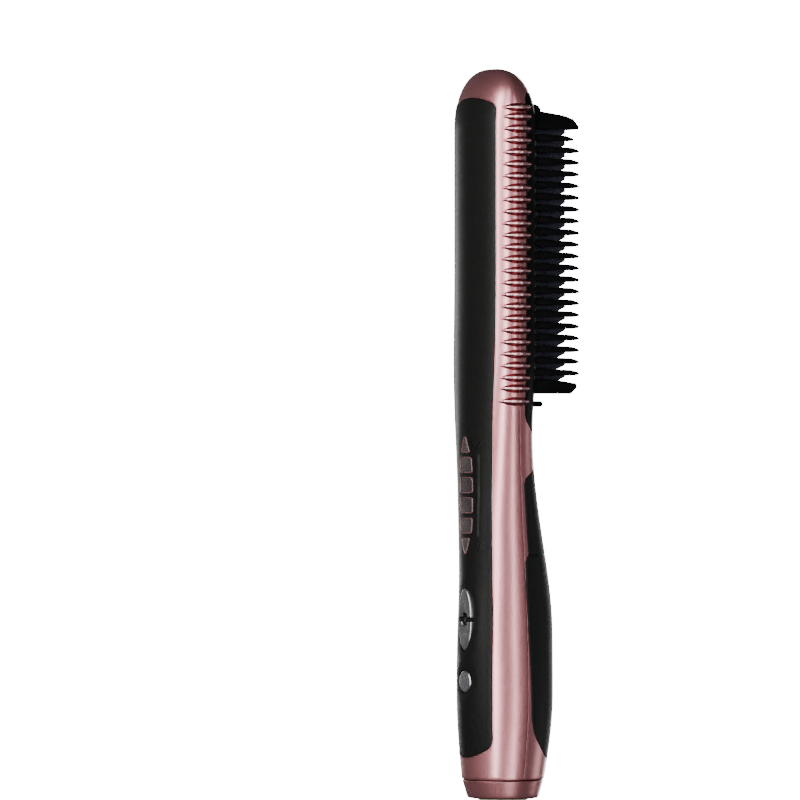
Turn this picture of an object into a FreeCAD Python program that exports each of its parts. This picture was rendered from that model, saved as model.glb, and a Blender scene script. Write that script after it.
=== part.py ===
"""Hair straightening comb, standing on its tail: +Z runs up the handle to the comb head.

The control face looks along -Y, the teeth point along +Y, and the origin is the middle of the
cord gland's mouth. Millimetres.
"""
import FreeCAD, Part
import math
import os
import Sketcher

Vector = FreeCAD.Vector

# Driving sizes, each written once: name, value, meaning.
SIZES = (
    ("total_length", 270.0, "tail mouth to the top of the head"),
    ("gland_proud", 0.8, "height of the cord collar below the tail cap"),
    ("cap_seam_z", 8.0, "seam between the tail cap and the shells"),
    ("base_radius", 13.3, "tail cap at its foot"),
    ("tail_radius", 15.2, "tail cap at its seam"),
    ("swell_z", 40.0, "height of the thickest part of the handle"),
    ("swell_half", 17.8, "half width there"),
    ("swell_front", 17.0, "depth to the front there"),
    ("swell_rear", 18.5, "depth to the back there"),
    ("waist_z", 80.0, "height of the handle's waist"),
    ("waist_half", 16.85, "half width there"),
    ("fall_start_z", 55.0, "height where the back starts to fall towards the head"),
    ("fall_end_z", 146.0, "height where the back is down on the comb's plane"),
    ("head_z", 168.0, "height where the straight head starts"),
    ("head_half", 20.4, "half width of the head"),
    ("head_front", 15.5, "depth of the head to the front"),
    ("comb_plane", 4.8, "depth of the head to the plane that the teeth stand on"),
    ("head_flat", 15.3, "half width of the flat back of the head"),
    ("handle_flat", 0.8, "half width of the flat on the handle's back"),
    ("dome_height", 22.0, "height of the dome on the head"),
    ("seam_handle", 0.5, "seam of the shells on the handle, behind the axis"),
    ("seam_head", 4.7, "seam of the shells on the head, in front of the axis"),
    ("seam_gap", 0.2, "open line between the shells"),
    ("wall", 2.4, "wall of the shells"),
    ("skin_depth", 1.2, "thickness of the panel and the grip pads, set into the shells"),
    ("fit_gap", 0.15, "gap round pieces set into one another"),
    ("panel_edge", 11.75, "distance of the panel's side edge in front of the axis"),
    ("panel_low_z", 16.0, "lower tip of the panel"),
    ("panel_top_drop", 10.7, "upper tip of the panel below the top of the head"),
    ("panel_low_rise", 9.0, "rise of the panel's lower arc at the panel's half width"),
    ("panel_top_fall", 3.6, "fall of the panel's upper arc there"),
    ("panel_half", 16.0, "half width of the panel's cut, outside its side edges"),
    ("rib_count", 26.0, "ribs on each side of the head"),
    ("rib_low_z", 147.3, "lowest rib"),
    ("rib_top_drop", 13.9, "highest rib below the top of the head"),
    ("rib_root", 2.5, "thickness of a rib at its root"),
    ("rib_crest", 1.0, "thickness of a rib at its crest"),
    ("rib_reach", 2.8, "how far a rib stands out of the head"),
    ("rib_front", 10.0, "front end of a rib, in front of the axis"),
    ("comb_seat", 0.9, "seat of the guard comb on the shell, in front of the axis"),
    ("comb_low_z", 129.6, "lower tip of the guard comb's frame"),
    ("comb_half", 19.7, "half width of the guard comb's frame"),
    ("comb_low_rise", 11.0, "rise of its lower arc at the sides"),
    ("comb_top_drop", 9.5, "upper tip of the guard comb's frame below the top of the head"),
    ("comb_top_fall", 6.0, "fall of its upper arc at the sides"),
    ("comb_plate", 2.2, "plate of the guard comb that carries the teeth"),
    ("guard_row", 13.7, "row of guard teeth beside the middle"),
    ("guard_width", 2.8, "width of a guard tooth across the row"),
    ("guard_thick", 2.6, "thickness of a guard tooth at its root"),
    ("guard_length", 19.5, "length of a guard tooth"),
    ("guard_count", 20.0, "guard teeth in a row"),
    ("guard_low_z", 158.1, "lowest guard tooth"),
    ("guard_top_drop", 29.8, "highest guard tooth below the top of the head"),
    ("end_guard_low", 4.8, "height of the lower end guard"),
    ("end_guard_top", 6.5, "height of the upper end guard"),
    ("end_guard_space", 3.2, "from the last tooth to the lower end guard's middle edge"),
    ("end_guard_trim", 1.2, "how much shorter than the teeth the end guards are"),
    ("peg_drop", 3.7, "peg below the lower end guard"),
    ("peg_radius", 1.1, "its radius"),
    ("peg_length", 4.0, "its length"),
    ("window_half", 10.6, "half width of the opening in the guard comb"),
    ("heater_rise", 4.2, "top of the heater plate behind the axis"),
    ("heater_flange", 1.8, "thickness of the heater plate's flange"),
    ("heater_flange_half", 12.2, "half width of the heater plate's flange"),
    ("heat_tooth_length", 16.4, "length of a heating tooth"),
    ("heat_tooth_thick", 2.4, "thickness of a heating tooth"),
    ("heat_tooth_width", 4.4, "width of a heating tooth across the row"),
    ("heat_end_gap", 0.25, "from the opening's ends to the end rows of heating teeth"),
    ("heat_row", 7.2, "outer rows of heating teeth beside the middle"),
    ("ptc_margin", 5.2, "from an end of the opening in the guard comb to the ceramic heaters"),
    ("ptc_half", 6.0, "half width of a ceramic heater"),
    ("ptc_thick", 2.4, "thickness of a ceramic heater"),
    ("ptc_space", 10.0, "space between the two ceramic heaters"),
    ("sheet_thick", 0.4, "insulation sheet"),
    ("clamp_thick", 1.2, "clamp plate"),
    ("clamp_half", 7.0, "half width of the clamp plate and the sheet"),
    ("shield_thick", 1.2, "heat shield"),
    ("sensor_half", 2.0, "half width of the thermistor"),
    ("sensor_thick", 1.6, "thickness of the thermistor"),
    ("fuse_radius", 1.6, "thermal fuse"),
    ("fuse_length", 12.0, "its length"),
    ("fuse_side", 9.2, "its place beside the middle"),
    ("board_front", 8.6, "face of the circuit board in front of the axis"),
    ("board_thick", 1.6, "circuit board"),
    ("board_half", 10.8, "half width of the circuit board"),
    ("board_low_z", 36.0, "lower end of the circuit board"),
    ("board_high_z", 140.0, "upper end of the circuit board"),
    ("rest_half", 2.0, "half width of the blocks that the board lies on"),
    ("boss_wall", 1.2, "wall of a screw post"),
    ("screw_head_radius", 2.1, "head of the screw"),
    ("screw_head_height", 1.3, "height of the screw's head"),
    ("shell_screw_z", 28.0, "height of the screw that closes the shells"),
    ("shell_screw_radius", 1.3, "its shank"),
    ("shell_screw_length", 9.0, "length of its shank"),
    ("post_floor", 2.5, "floor of the rear shell's screw post"),
    ("rocker_z", 67.0, "middle of the oval temperature key"),
    ("rocker_height", 22.9, "height of the oval"),
    ("rocker_width", 9.2, "width of the oval"),
    ("rocker_split", 1.65, "space between its two halves"),
    ("notch_radius", 2.4, "round notch at the middle of the oval"),
    ("power_z", 44.1, "middle of the power button"),
    ("power_radius", 4.15, "power button"),
    ("button_proud", 0.15, "how far the buttons stand out of the handle's front"),
    ("button_depth", 4.0, "buttons from their face to their flange"),
    ("button_flange", 1.0, "thickness of a button's flange"),
    ("flange_lip", 0.9, "how far a button's flange stands out round it"),
    ("button_gap", 0.3, "gap round the buttons"),
    ("button_travel", 0.6, "travel of the buttons"),
    ("switch_gap", 0.1, "space left over a switch when its button is down"),
    ("switch_half", 3.0, "half width of a switch"),
    ("switch_height", 2.0, "case of a switch"),
    ("plunger_radius", 1.4, "plunger of a switch"),
    ("windows_z", 112.75, "middle of the row of indicator windows"),
    ("window_pitch", 7.45, "step between the windows"),
    ("window_height", 5.7, "height of a window"),
    ("window_wide", 9.2, "width of the middle windows"),
    ("window_narrow", 8.0, "width of the outer windows"),
    ("window_tip", 6.0, "width of the triangles at their base"),
    ("lamp_height", 1.0, "lamps on the circuit board"),
    ("lamp_half", 1.5, "half width of a lamp"),
    ("guide_gap", 0.4, "space between a lamp and its window"),
    ("gland_radius", 9.2, "collar of the cord gland"),
    ("gland_neck", 7.5, "neck of the gland in the tail cap"),
    ("gland_bore", 3.6, "bore for the cord"),
    ("cap_floor", 2.0, "floor of the tail cap"),
    ("pad_low_z", 13.5, "lower tip of the rear grip pad"),
    ("pad_half", 18.6, "half width of the cut for the rear pads"),
    ("pad_low_rise", 13.5, "rise of its lower arc at the sides"),
    ("pad_split_z", 91.0, "where the grip pad meets the neck panel"),
    ("pad_split_gap", 0.4, "open line between them"),
    ("neck_top_z", 127.5, "upper tip of the neck panel"),
    ("neck_top_fall", 9.0, "fall of its upper arc at the sides"),
    ("pad_edge_low", 3.0, "side edge of the grip pad behind the axis, at its foot"),
    ("pad_edge_high", 0.5, "the same where it meets the neck panel"),
    ("neck_edge", 1.3, "side edge of the neck panel behind the axis"),
)

# Shape of the dome, and the sections that carry the body's form: many outside, few inside.
SIDE_POWER = 2.8
DEPTH_POWER = 1.7
DOME_END = 0.995
LEAST_FLAT = 0.3
OUTER_CORNER_COUNT = 8
INNER_CORNER_COUNT = 3
OUTER_SPAN_COUNT = 11
INNER_SPAN_COUNT = 6
OUTER_DOME = (0.0, 0.25, 0.5, 0.7, 0.85, 0.95, 1.0)
INNER_DOME = (0.0, 0.45, 0.8, 1.0)
# How far from a plane a corner may lie and still count as in it.
FLAT_LIMIT = 1e-6

doc = FreeCAD.newDocument("straightening_comb")
sheet = doc.addObject("Spreadsheet::Sheet", "Sizes")
for row, (alias, value, meaning) in enumerate(SIZES, start=1):
    sheet.set(f"A{row}", meaning)
    sheet.set(f"B{row}", str(value))
    sheet.setAlias(f"B{row}", alias)
doc.recompute()


def size(alias):
    """Value of one driving size."""
    return float(sheet.get(alias))


# Reach of a cutting tool past the body.
OUTSIDE = 2 * (size("head_half") + size("guard_length"))
TOP = size("total_length")
DOME_Z = TOP - size("dome_height")
SEAT_Y = -size("comb_seat")
BOARD_Y = -size("board_front")
BUTTON_FACE = -size("swell_front") - size("button_proud")
FLANGE_Y = BUTTON_FACE + size("button_depth")
BUTTON_BACK = FLANGE_Y + size("button_flange")
NODES = []


def add_solid(label, shape):
    """A sub-part whose shape is worked out here."""
    node = doc.addObject("Part::Feature", label)
    node.Label = label
    node.Shape = shape.removeSplitter()
    node.Placement = FreeCAD.Placement()
    NODES.append(node)


# Form of the body

def rise(z, start, end):
    """0 at start, 1 at end, quick at first."""
    share = min(max((z - start) / (end - start), 0.0), 1.0)
    return math.sin(share * math.pi / 2)


def ease(z, start, end):
    """0 at start, 1 at end, slow at both."""
    share = min(max((z - start) / (end - start), 0.0), 1.0)
    return (1 - math.cos(share * math.pi)) / 2


def blend(z, tail, swell, head, start, end):
    """A size that grows from the tail to the swell and then eases to the head."""
    grown = tail + (swell - tail) * rise(z, size("cap_seam_z"), size("swell_z"))
    return grown + (head - swell) * ease(z, start, end)


def half_width(z):
    tapered = blend(z, size("tail_radius"), size("swell_half"), size("waist_half"),
                    size("swell_z"), size("waist_z"))
    return tapered + (size("head_half") - size("waist_half")) * ease(z, size("waist_z"), size("head_z"))


def front_depth(z):
    return blend(z, size("tail_radius"), size("swell_front"), size("head_front"),
                 size("swell_z"), size("head_z"))


def rear_depth(z):
    return blend(z, size("tail_radius"), size("swell_rear"), size("comb_plane"),
                 size("fall_start_z"), size("fall_end_z"))


def flat_half(z):
    return blend(z, LEAST_FLAT, size("handle_flat"), size("head_flat"), size("waist_z"), size("head_z"))


def seam_y(z):
    return blend(z, 0.0, size("seam_handle"), -size("seam_head"), size("fall_start_z"), size("head_z"))


def section_sizes(z, inset):
    """Seam, half width, front, rear and flat of the body at height z, drawn in by inset."""
    seam = seam_y(z)
    share = max(z - DOME_Z, 0.0) / (size("dome_height") - inset) * DOME_END
    side_scale = (1 - share ** SIDE_POWER) ** (1 / SIDE_POWER)
    depth_scale = (1 - share ** DEPTH_POWER) ** (1 / DEPTH_POWER)
    side = (half_width(z) - inset) * side_scale
    front = (-front_depth(z) + inset - seam) * depth_scale
    rear = (rear_depth(z) - inset - seam) * depth_scale
    return seam, side, front, rear, flat_half(z) * side_scale


def section(z, inset, corners):
    """Corners of the body's outline: quarters of ellipses with a flat at the back."""
    seam, side, front, rear, flat = section_sizes(z, inset)
    angles = [math.pi / 2 * index / corners for index in range(corners + 1)]
    right = [Vector(side * math.sin(angle), seam + front * math.cos(angle), z) for angle in angles]
    right += [Vector(flat + (side - flat) * math.cos(angle), seam + rear * math.sin(angle), z)
              for angle in angles[1:]]
    left = [Vector(-point.x, point.y, z) for point in reversed(right[1:])]
    return right + left


def flat_face(points):
    return Part.Face(Part.makePolygon(points + points[:1]))


def is_flat(first, second, third, fourth):
    """Whether four corners lie in one plane."""
    normal = (second - first).cross(third - first)
    return abs(normal.dot(fourth - first)) < FLAT_LIMIT * normal.Length


def facet_loft(rings):
    """Solid through rings of corners, in flat faces of three or four sides, closed at both ends."""
    faces = [flat_face(rings[0]), flat_face(rings[-1])]
    for low, high in zip(rings, rings[1:]):
        for index in range(len(low)):
            after = (index + 1) % len(low)
            corners = [low[index], low[after], high[after], high[index]]
            if is_flat(*corners):
                faces.append(flat_face(corners))
            else:
                faces.append(flat_face(corners[:3]))
                faces.append(flat_face(corners[2:] + corners[:1]))
    solid = Part.Solid(Part.Shell(faces))
    if solid.Volume < 0:
        solid.reverse()
    return solid


def span_heights(spans):
    low = size("cap_seam_z")
    return [low + (size("head_z") - low) * index / spans for index in range(spans + 1)]


def body_form(inset, corners, spans, dome_steps):
    """Whole body, drawn in by inset: handle, straight head and dome."""
    dome_heights = [DOME_Z + (size("dome_height") - inset) * step for step in dome_steps]
    return facet_loft([section(z, inset, corners) for z in span_heights(spans) + dome_heights])


def side_x(z, y):
    """Half width of the body's side at a height and a depth."""
    seam, side, front, rear, flat = section_sizes(z, 0.0)
    if y < seam:
        return side * math.sqrt(1 - ((y - seam) / front) ** 2)
    return flat + (side - flat) * math.sqrt(1 - ((y - seam) / rear) ** 2)


def front_of_seam(shift):
    """Everything in front of the shells' seam, moved back by shift."""
    line = [Vector(-OUTSIDE, seam_y(z) + shift, z) for z in span_heights(OUTER_SPAN_COUNT)]
    low = line[0] - Vector(0, 0, OUTSIDE)
    high = line[-1] + Vector(0, 0, TOP)
    front = [Vector(-OUTSIDE, -OUTSIDE, high.z), Vector(-OUTSIDE, -OUTSIDE, low.z)]
    return flat_face([low] + line + [high] + front).extrude(Vector(2 * OUTSIDE, 0, 0))


def arched_zone(depths, half, low_z, low_rise, high_z, high_fall, grow=0.0):
    """Block between two depths, with an arc at its foot and an arc at its head."""
    near, far = depths
    half = half + grow
    low_z = low_z - grow
    high_z = high_z + grow
    low_left = Vector(-half, near, low_z + low_rise)
    low_right = Vector(half, near, low_z + low_rise)
    high_left = Vector(-half, near, high_z - high_fall)
    high_right = Vector(half, near, high_z - high_fall)
    edges = [
        Part.Arc(low_left, Vector(0, near, low_z), low_right).toShape(),
        Part.makeLine(low_right, high_right),
        Part.Arc(high_right, Vector(0, near, high_z), high_left).toShape(),
        Part.makeLine(high_left, low_left),
    ]
    return Part.Face(Part.Wire(edges)).extrude(Vector(0, far - near, 0))


def box(x_span, y_span, z_span):
    """Block from spans along each axis."""
    lengths = [span[1] - span[0] for span in (x_span, y_span, z_span)]
    return Part.makeBox(*lengths, Vector(x_span[0], y_span[0], z_span[0]))


def rod(x, z, radius, y_low, y_high):
    """Round rod along Y."""
    return Part.makeCylinder(radius, y_high - y_low, Vector(x, y_low, z), Vector(0, 1, 0))


# Side ribs of the head: how far along a rib, and how much of its full reach it has there
RIB_CRESCENT = ((0.0, 0.0), (0.3, 0.68), (0.65, 1.0), (1.0, 0.85))


def rib_heights():
    count = int(size("rib_count"))
    low = size("rib_low_z")
    step = (TOP - size("rib_top_drop") - low) / (count - 1)
    return [low + index * step for index in range(count)]


def rib(z, side):
    """Crescent on one side of the head, thick at its root and thin at its crest."""
    front = -size("rib_front")
    rear = SEAT_Y - 2 * size("fit_gap")
    root_half = size("rib_root") / 2
    crest_half = size("rib_crest") / 2
    crest = []
    root = []
    for along, bulge in RIB_CRESCENT:
        y = front + (rear - front) * along
        wall_x = side_x(z, y)
        crest.append(Vector(side * (wall_x + size("rib_reach") * bulge), y, z - root_half))
        root.append(Vector(side * (wall_x - size("wall") / 2), y, z - root_half))
    plate = Part.Face(Part.makePolygon(crest + root[::-1] + crest[:1])).extrude(Vector(0, 0, 2 * root_half))
    inner_x = side * side_x(z, front)
    outer_x = side * (half_width(z) + size("rib_reach"))
    wedge = Part.Face(Part.makePolygon([
        Vector(0, front, z - root_half),
        Vector(inner_x, front, z - root_half),
        Vector(outer_x, front, z - crest_half),
        Vector(outer_x, front, z + crest_half),
        Vector(inner_x, front, z + root_half),
        Vector(0, front, z + root_half),
        Vector(0, front, z - root_half),
    ])).extrude(Vector(0, rear - front, 0))
    return plate.common(wedge)


# Zones that several pieces share

def panel_zone(grow):
    depths = (-size("panel_edge") + grow, -OUTSIDE)
    return arched_zone(depths, size("panel_half"), size("panel_low_z"), size("panel_low_rise"),
                       TOP - size("panel_top_drop"), size("panel_top_fall"), grow)


def comb_zone(grow, floor):
    depths = (floor, OUTSIDE)
    return arched_zone(depths, size("comb_half"), size("comb_low_z"), size("comb_low_rise"),
                       TOP - size("comb_top_drop"), size("comb_top_fall"), grow)


def behind_line(low, high, low_z, high_z):
    """Everything behind a straight line from one depth to another, seen from the side."""
    corners = [Vector(-OUTSIDE, low, low_z), Vector(-OUTSIDE, high, high_z),
               Vector(-OUTSIDE, OUTSIDE, high_z), Vector(-OUTSIDE, OUTSIDE, low_z)]
    face = Part.Face(Part.makePolygon(corners + corners[:1]))
    return face.extrude(Vector(2 * OUTSIDE, 0, 0))


def grip_zone(grow):
    high = size("pad_split_z") + grow
    zone = arched_zone((0.0, OUTSIDE), size("pad_half"), size("pad_low_z"), size("pad_low_rise"),
                       high + OUTSIDE, 1.0, grow)
    low = size("pad_low_z") - grow
    return zone.common(behind_line(size("pad_edge_low") - grow, size("pad_edge_high") - grow, low, high))


def neck_zone(grow):
    low = size("pad_split_z") + size("pad_split_gap") - grow
    zone = arched_zone((-OUTSIDE, OUTSIDE), size("pad_half"), low - OUTSIDE, 1.0,
                       size("neck_top_z"), size("neck_top_fall"), grow)
    high = size("neck_top_z") + grow
    edge = size("neck_edge") - grow
    return zone.common(behind_line(edge, seam_y(high) + edge, low, high))


# Controls on the front

def rocker_face(part, grow):
    """Half of the oval key: part is 1 for the upper half and -1 for the lower half."""
    middle = Vector(0, 0, size("rocker_z"))
    tall = size("rocker_height") / 2 + grow
    wide = size("rocker_width") / 2 + grow
    oval = Part.Ellipse(middle + Vector(0, 0, tall), middle + Vector(wide, 0, 0), middle)
    face = Part.Face(Part.Wire(oval.toShape()))
    cut = size("rocker_split") / 2 - grow
    ends = (size("rocker_z") + part * cut, size("rocker_z") + part * OUTSIDE)
    half = box((-OUTSIDE, OUTSIDE), (-1, 1), (min(ends), max(ends)))
    notch = rod(0, size("rocker_z"), size("notch_radius") - grow, -1, 1)
    return face.common(half).cut(notch)


def power_face(grow):
    ring = Part.Circle(Vector(0, 0, size("power_z")), Vector(0, 1, 0), size("power_radius") + grow)
    return Part.Face(Part.Wire(ring.toShape()))


def window_heights():
    """Middles of the six windows, from the top."""
    return [size("windows_z") + size("window_pitch") * (2.5 - index) for index in range(6)]


def window_faces(grow):
    """Six windows in a column: a triangle, four squares and a triangle turned over."""
    tall = size("window_height") / 2 + grow
    wide = size("window_wide") / 2 + grow
    narrow = size("window_narrow") / 2 + grow
    tip = size("window_tip") / 2 + grow
    point = grow + size("fit_gap")
    ends = ((tip, point), (wide, narrow), (wide, wide), (wide, wide), (narrow, wide), (point, tip))
    faces = []
    for center, (low, high) in zip(window_heights(), ends):
        corners = [Vector(-low, 0, center - tall), Vector(low, 0, center - tall),
                   Vector(high, 0, center + tall), Vector(-high, 0, center + tall)]
        faces.append(Part.Face(Part.makePolygon(corners + corners[:1])))
    return faces


def through(face, y_low, y_high):
    """A face drawn at Y 0, made a bar between two depths."""
    bar = face.copy()
    bar.translate(Vector(0, y_low, 0))
    return bar.extrude(Vector(0, y_high - y_low, 0))


def button_faces(grow):
    return [rocker_face(1, grow), rocker_face(-1, grow), power_face(grow)]


def control_cuts():
    """Openings for the buttons and the windows, through the panel and the shell behind it."""
    faces = button_faces(size("button_gap")) + window_faces(size("fit_gap"))
    return [through(face, -OUTSIDE, BOARD_Y) for face in faces]


def flange_rooms():
    """Room behind the shell's front for the buttons' flanges."""
    gap = size("button_gap")
    return [through(face, FLANGE_Y - gap, BOARD_Y) for face in button_faces(size("flange_lip") + gap)]


# Board rests and the screw that closes the shells

def board_rests():
    """Blocks of the front shell that the circuit board lies on, at its four corners."""
    half = size("rest_half")
    side = size("board_half") - half
    heights = (size("board_low_z") + half, size("board_high_z") - half)
    return [box((x - half, x + half), (-OUTSIDE, BOARD_Y), (z - half, z + half)).common(skin)
            for x in (-side, side) for z in heights]


def screw_post(radius, y_low, y_high):
    """Square post round a bore for the shells' screw."""
    half = radius + size("boss_wall")
    z = size("shell_screw_z")
    return box((-half, half), (y_low, y_high), (z - half, z + half)).common(skin)


def screw_rod(radius, y_low, y_high):
    """Round piece of the shells' screw, or of a bore for it."""
    return rod(0, size("shell_screw_z"), radius, y_low, y_high)


# Shells, panel, pads and guard comb

outer = body_form(0.0, OUTER_CORNER_COUNT, OUTER_SPAN_COUNT, OUTER_DOME)
skin = body_form(size("skin_depth"), INNER_CORNER_COUNT, INNER_SPAN_COUNT, INNER_DOME)
cavity = body_form(size("wall"), INNER_CORNER_COUNT, INNER_SPAN_COUNT, INNER_DOME)
cuts = control_cuts()
HALF_GAP = size("seam_gap") / 2
PILOT_GAP = size("fit_gap") / 3
SCREW_SEAM = seam_y(size("shell_screw_z"))
HEAD_SEAT = SCREW_SEAM + HALF_GAP + size("post_floor")
ribs = [rib(z, side) for z in rib_heights() for side in (-1, 1)]
hollow = outer.fuse(ribs).cut(cavity)


def front_shell():
    shell = hollow.common(front_of_seam(-HALF_GAP))
    radius = size("shell_screw_radius")
    seat = SCREW_SEAM - HALF_GAP
    post = screw_post(radius, -OUTSIDE, seat)
    pilot = screw_rod(radius + PILOT_GAP, seat - size("shell_screw_length"), seat)
    pocket = panel_zone(size("fit_gap")).cut(skin)
    return shell.fuse(board_rests() + [post]).cut(cuts + flange_rooms() + [pilot, pocket])


def rear_shell():
    shell = hollow.cut(front_of_seam(HALF_GAP))
    gap = size("fit_gap")
    well_radius = size("screw_head_radius") + gap
    post = screw_post(well_radius, SCREW_SEAM + HALF_GAP, OUTSIDE)
    well = screw_rod(well_radius, HEAD_SEAT, OUTSIDE)
    bore = screw_rod(size("shell_screw_radius") + gap, SCREW_SEAM, OUTSIDE)
    pockets = [zone(gap).cut(skin) for zone in (grip_zone, neck_zone)]
    seat_cut = comb_zone(gap, SEAT_Y - gap)
    return shell.fuse(post).cut([well, bore, seat_cut] + pockets)


def front_panel():
    return outer.common(panel_zone(0.0)).cut([skin] + cuts)


def rear_pad(zone):
    return outer.common(zone(0.0)).cut(skin)


def tail_ring(radius, z, corners):
    """The tail's outline at another radius and height."""
    scale = radius / size("tail_radius")
    outline = section(size("cap_seam_z"), 0.0, corners)
    return [Vector(point.x * scale, point.y * scale, z) for point in outline]


def tail_cap():
    """Cup that closes the shells at the tail, with a hole for the cord gland."""
    foot = size("gland_proud")
    rim = size("cap_seam_z") - size("seam_gap")
    floor = size("cap_floor")
    base = size("base_radius")
    wall = size("wall")
    cup = facet_loft([
        tail_ring(base - floor / 3, foot, OUTER_CORNER_COUNT),
        tail_ring(base, foot + floor / 3, OUTER_CORNER_COUNT),
        tail_ring(size("tail_radius"), rim, OUTER_CORNER_COUNT),
    ])
    hollow_form = facet_loft([
        tail_ring(base - wall, foot + floor, INNER_CORNER_COUNT),
        tail_ring(size("tail_radius") - wall, rim, INNER_CORNER_COUNT),
    ])
    hole = Part.makeCylinder(size("gland_neck") + size("fit_gap"), rim)
    return cup.cut([hollow_form, hole])


# Guard comb: frame, guard teeth, end guards and pegs in one moulding

# The upper end guard from its tip to its root: how far back and how high, in heights of that guard.
TOP_GUARD_SLOPE = ((0.0, 0.0), (0.0, 0.2), (0.35, 0.6), (1.0, 0.8), (2.5, 1.0))
PLATE_Y = size("comb_plane") - size("comb_plate")
ROOT_Y = size("comb_plane") - size("comb_plate") / 2
TIP_Y = size("comb_plane") + size("guard_length")
LAST_TOOTH = TOP - size("guard_top_drop")
PITCH = (LAST_TOOTH - size("guard_low_z")) / (size("guard_count") - 1)
LOW_GUARD = (size("guard_low_z") - size("end_guard_space") - size("end_guard_low"),
             size("guard_low_z") - size("end_guard_space"))
TOP_GUARD = (LAST_TOOTH + PITCH + size("end_guard_space"),
             LAST_TOOTH + PITCH + size("end_guard_space") + size("end_guard_top"))


def across(edges, x_low, x_high):
    """Profile drawn at X 0 from edges, made a bar between two X places."""
    face = Part.Face(Part.Wire(edges))
    face.translate(Vector(x_low, 0, 0))
    return face.extrude(Vector(x_high - x_low, 0, 0))


def open_lines(points):
    return [Part.makeLine(first, second) for first, second in zip(points, points[1:])]


def guard_tooth(x, z, tip_y):
    """Pointed tooth: straight below, sloping above, blunted at its tip."""
    half = size("guard_thick") / 2
    points = [
        Vector(0, ROOT_Y, z + half),
        Vector(0, ROOT_Y, z - half),
        Vector(0, tip_y - half / 2, z - half),
        Vector(0, tip_y, z - half / 2),
        Vector(0, tip_y - half / 2, z),
        Vector(0, tip_y - 2 * half, z + half / 2),
    ]
    return across(open_lines(points + points[:1]), x - size("guard_width") / 2, x + size("guard_width") / 2)


def end_guards():
    """Wide plates at both ends of the teeth: the lower one is cut off, the upper one slopes to its tip."""
    half = size("guard_row") + size("guard_width") / 2
    tip = TIP_Y - size("end_guard_trim")
    low, high = LOW_GUARD
    corner = size("end_guard_low") / 2
    points = [Vector(0, ROOT_Y, low), Vector(0, tip - corner, low), Vector(0, tip, low + corner),
              Vector(0, tip, high), Vector(0, ROOT_Y, high)]
    lower = across(open_lines(points + points[:1]), -half, half)
    low, high = TOP_GUARD
    tall = size("end_guard_top")
    points = [Vector(0, TIP_Y - back * tall, low + up * tall) for back, up in TOP_GUARD_SLOPE]
    points += [Vector(0, ROOT_Y, high), Vector(0, ROOT_Y, low)]
    upper = across(open_lines(points + points[:1]), -half, half)
    return [lower, upper]


def guard_comb():
    under_plate = box((-OUTSIDE, OUTSIDE), (SEAT_Y, PLATE_Y), (0, TOP))
    inner = skin.common(comb_zone(-size("wall"), SEAT_Y)).common(under_plate)
    half = size("window_half")
    opening = box((-half, half), (PLATE_Y, OUTSIDE), (LOW_GUARD[1], TOP_GUARD[0]))
    frame = outer.common(comb_zone(0.0, SEAT_Y)).cut([inner, opening])
    additions = end_guards()
    short_tip = TIP_Y - 2 * size("end_guard_trim")
    peg_z = LOW_GUARD[0] - size("peg_drop")
    for x in (-size("guard_row"), size("guard_row")):
        for index in range(int(size("guard_count"))):
            additions.append(guard_tooth(x, size("guard_low_z") + index * PITCH, TIP_Y))
        additions.append(guard_tooth(x, LAST_TOOTH + PITCH, short_tip))
        additions.append(rod(x, peg_z, size("peg_radius"), ROOT_Y, size("comb_plane") + size("peg_length")))
    return frame.fuse(additions)


add_solid("front_shell", front_shell())
add_solid("rear_shell", rear_shell())
add_solid("front_panel", front_panel())
add_solid("rear_grip_pad", rear_pad(grip_zone))
add_solid("rear_neck_panel", rear_pad(neck_zone))
add_solid("guard_comb", guard_comb())
add_solid("tail_cap", tail_cap())

# Buttons of the oval key, with the flanges that hold them in

def rocker_button(part):
    lip = size("flange_lip")
    split = size("rocker_z") + part * size("rocker_split") / 2
    ends = sorted((split, split + part * OUTSIDE))
    flange = through(rocker_face(part, lip), FLANGE_Y, BUTTON_BACK).common(
        box((-OUTSIDE, OUTSIDE), (-OUTSIDE, OUTSIDE), ends))
    return through(rocker_face(part, 0.0), BUTTON_FACE, FLANGE_Y).fuse(flange)


add_solid("plus_button", rocker_button(1))
add_solid("minus_button", rocker_button(-1))

# Windows, lamps and switches: groups of like pieces

LAMP_FACE = BOARD_Y - size("lamp_height")
guide_end = LAMP_FACE - size("guide_gap")
window_bars = [through(face, -OUTSIDE, guide_end).common(outer) for face in window_faces(0.0)]
add_solid("indicator_windows", Part.makeCompound(window_bars))

lamps = []
for z in window_heights():
    half = size("lamp_half")
    lamps.append(box((-half, half), (LAMP_FACE, BOARD_Y), (z - half, z + half)))
add_solid("indicator_leds", Part.makeCompound(lamps))

SWITCH_FACE = BOARD_Y - size("switch_height")
PLUNGER_FACE = BUTTON_BACK + size("button_travel") + size("switch_gap")
switches = []
quarter_height = size("rocker_height") / 4
for z in (size("rocker_z") + quarter_height, size("rocker_z") - quarter_height, size("power_z")):
    half = size("switch_half")
    case = box((-half, half), (SWITCH_FACE, BOARD_Y), (z - half, z + half))
    switches.append(case.fuse(rod(0, z, size("plunger_radius"), PLUNGER_FACE, SWITCH_FACE)))
add_solid("tact_switches", Part.makeCompound(switches))

screw_head = screw_rod(size("screw_head_radius"), HEAD_SEAT, HEAD_SEAT + size("screw_head_height"))
shank_end = HEAD_SEAT - size("shell_screw_length")
add_solid("shell_screw", screw_head.fuse(screw_rod(size("shell_screw_radius"), shank_end, HEAD_SEAT)))


# Pieces made from sketches

def new_body(label):
    body = doc.addObject("PartDesign::Body", label)
    body.Label = label
    NODES.append(body)
    return body


def origin_part(body, role):
    return next(part for part in body.Origin.OriginFeatures if part.Role == role)


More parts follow.
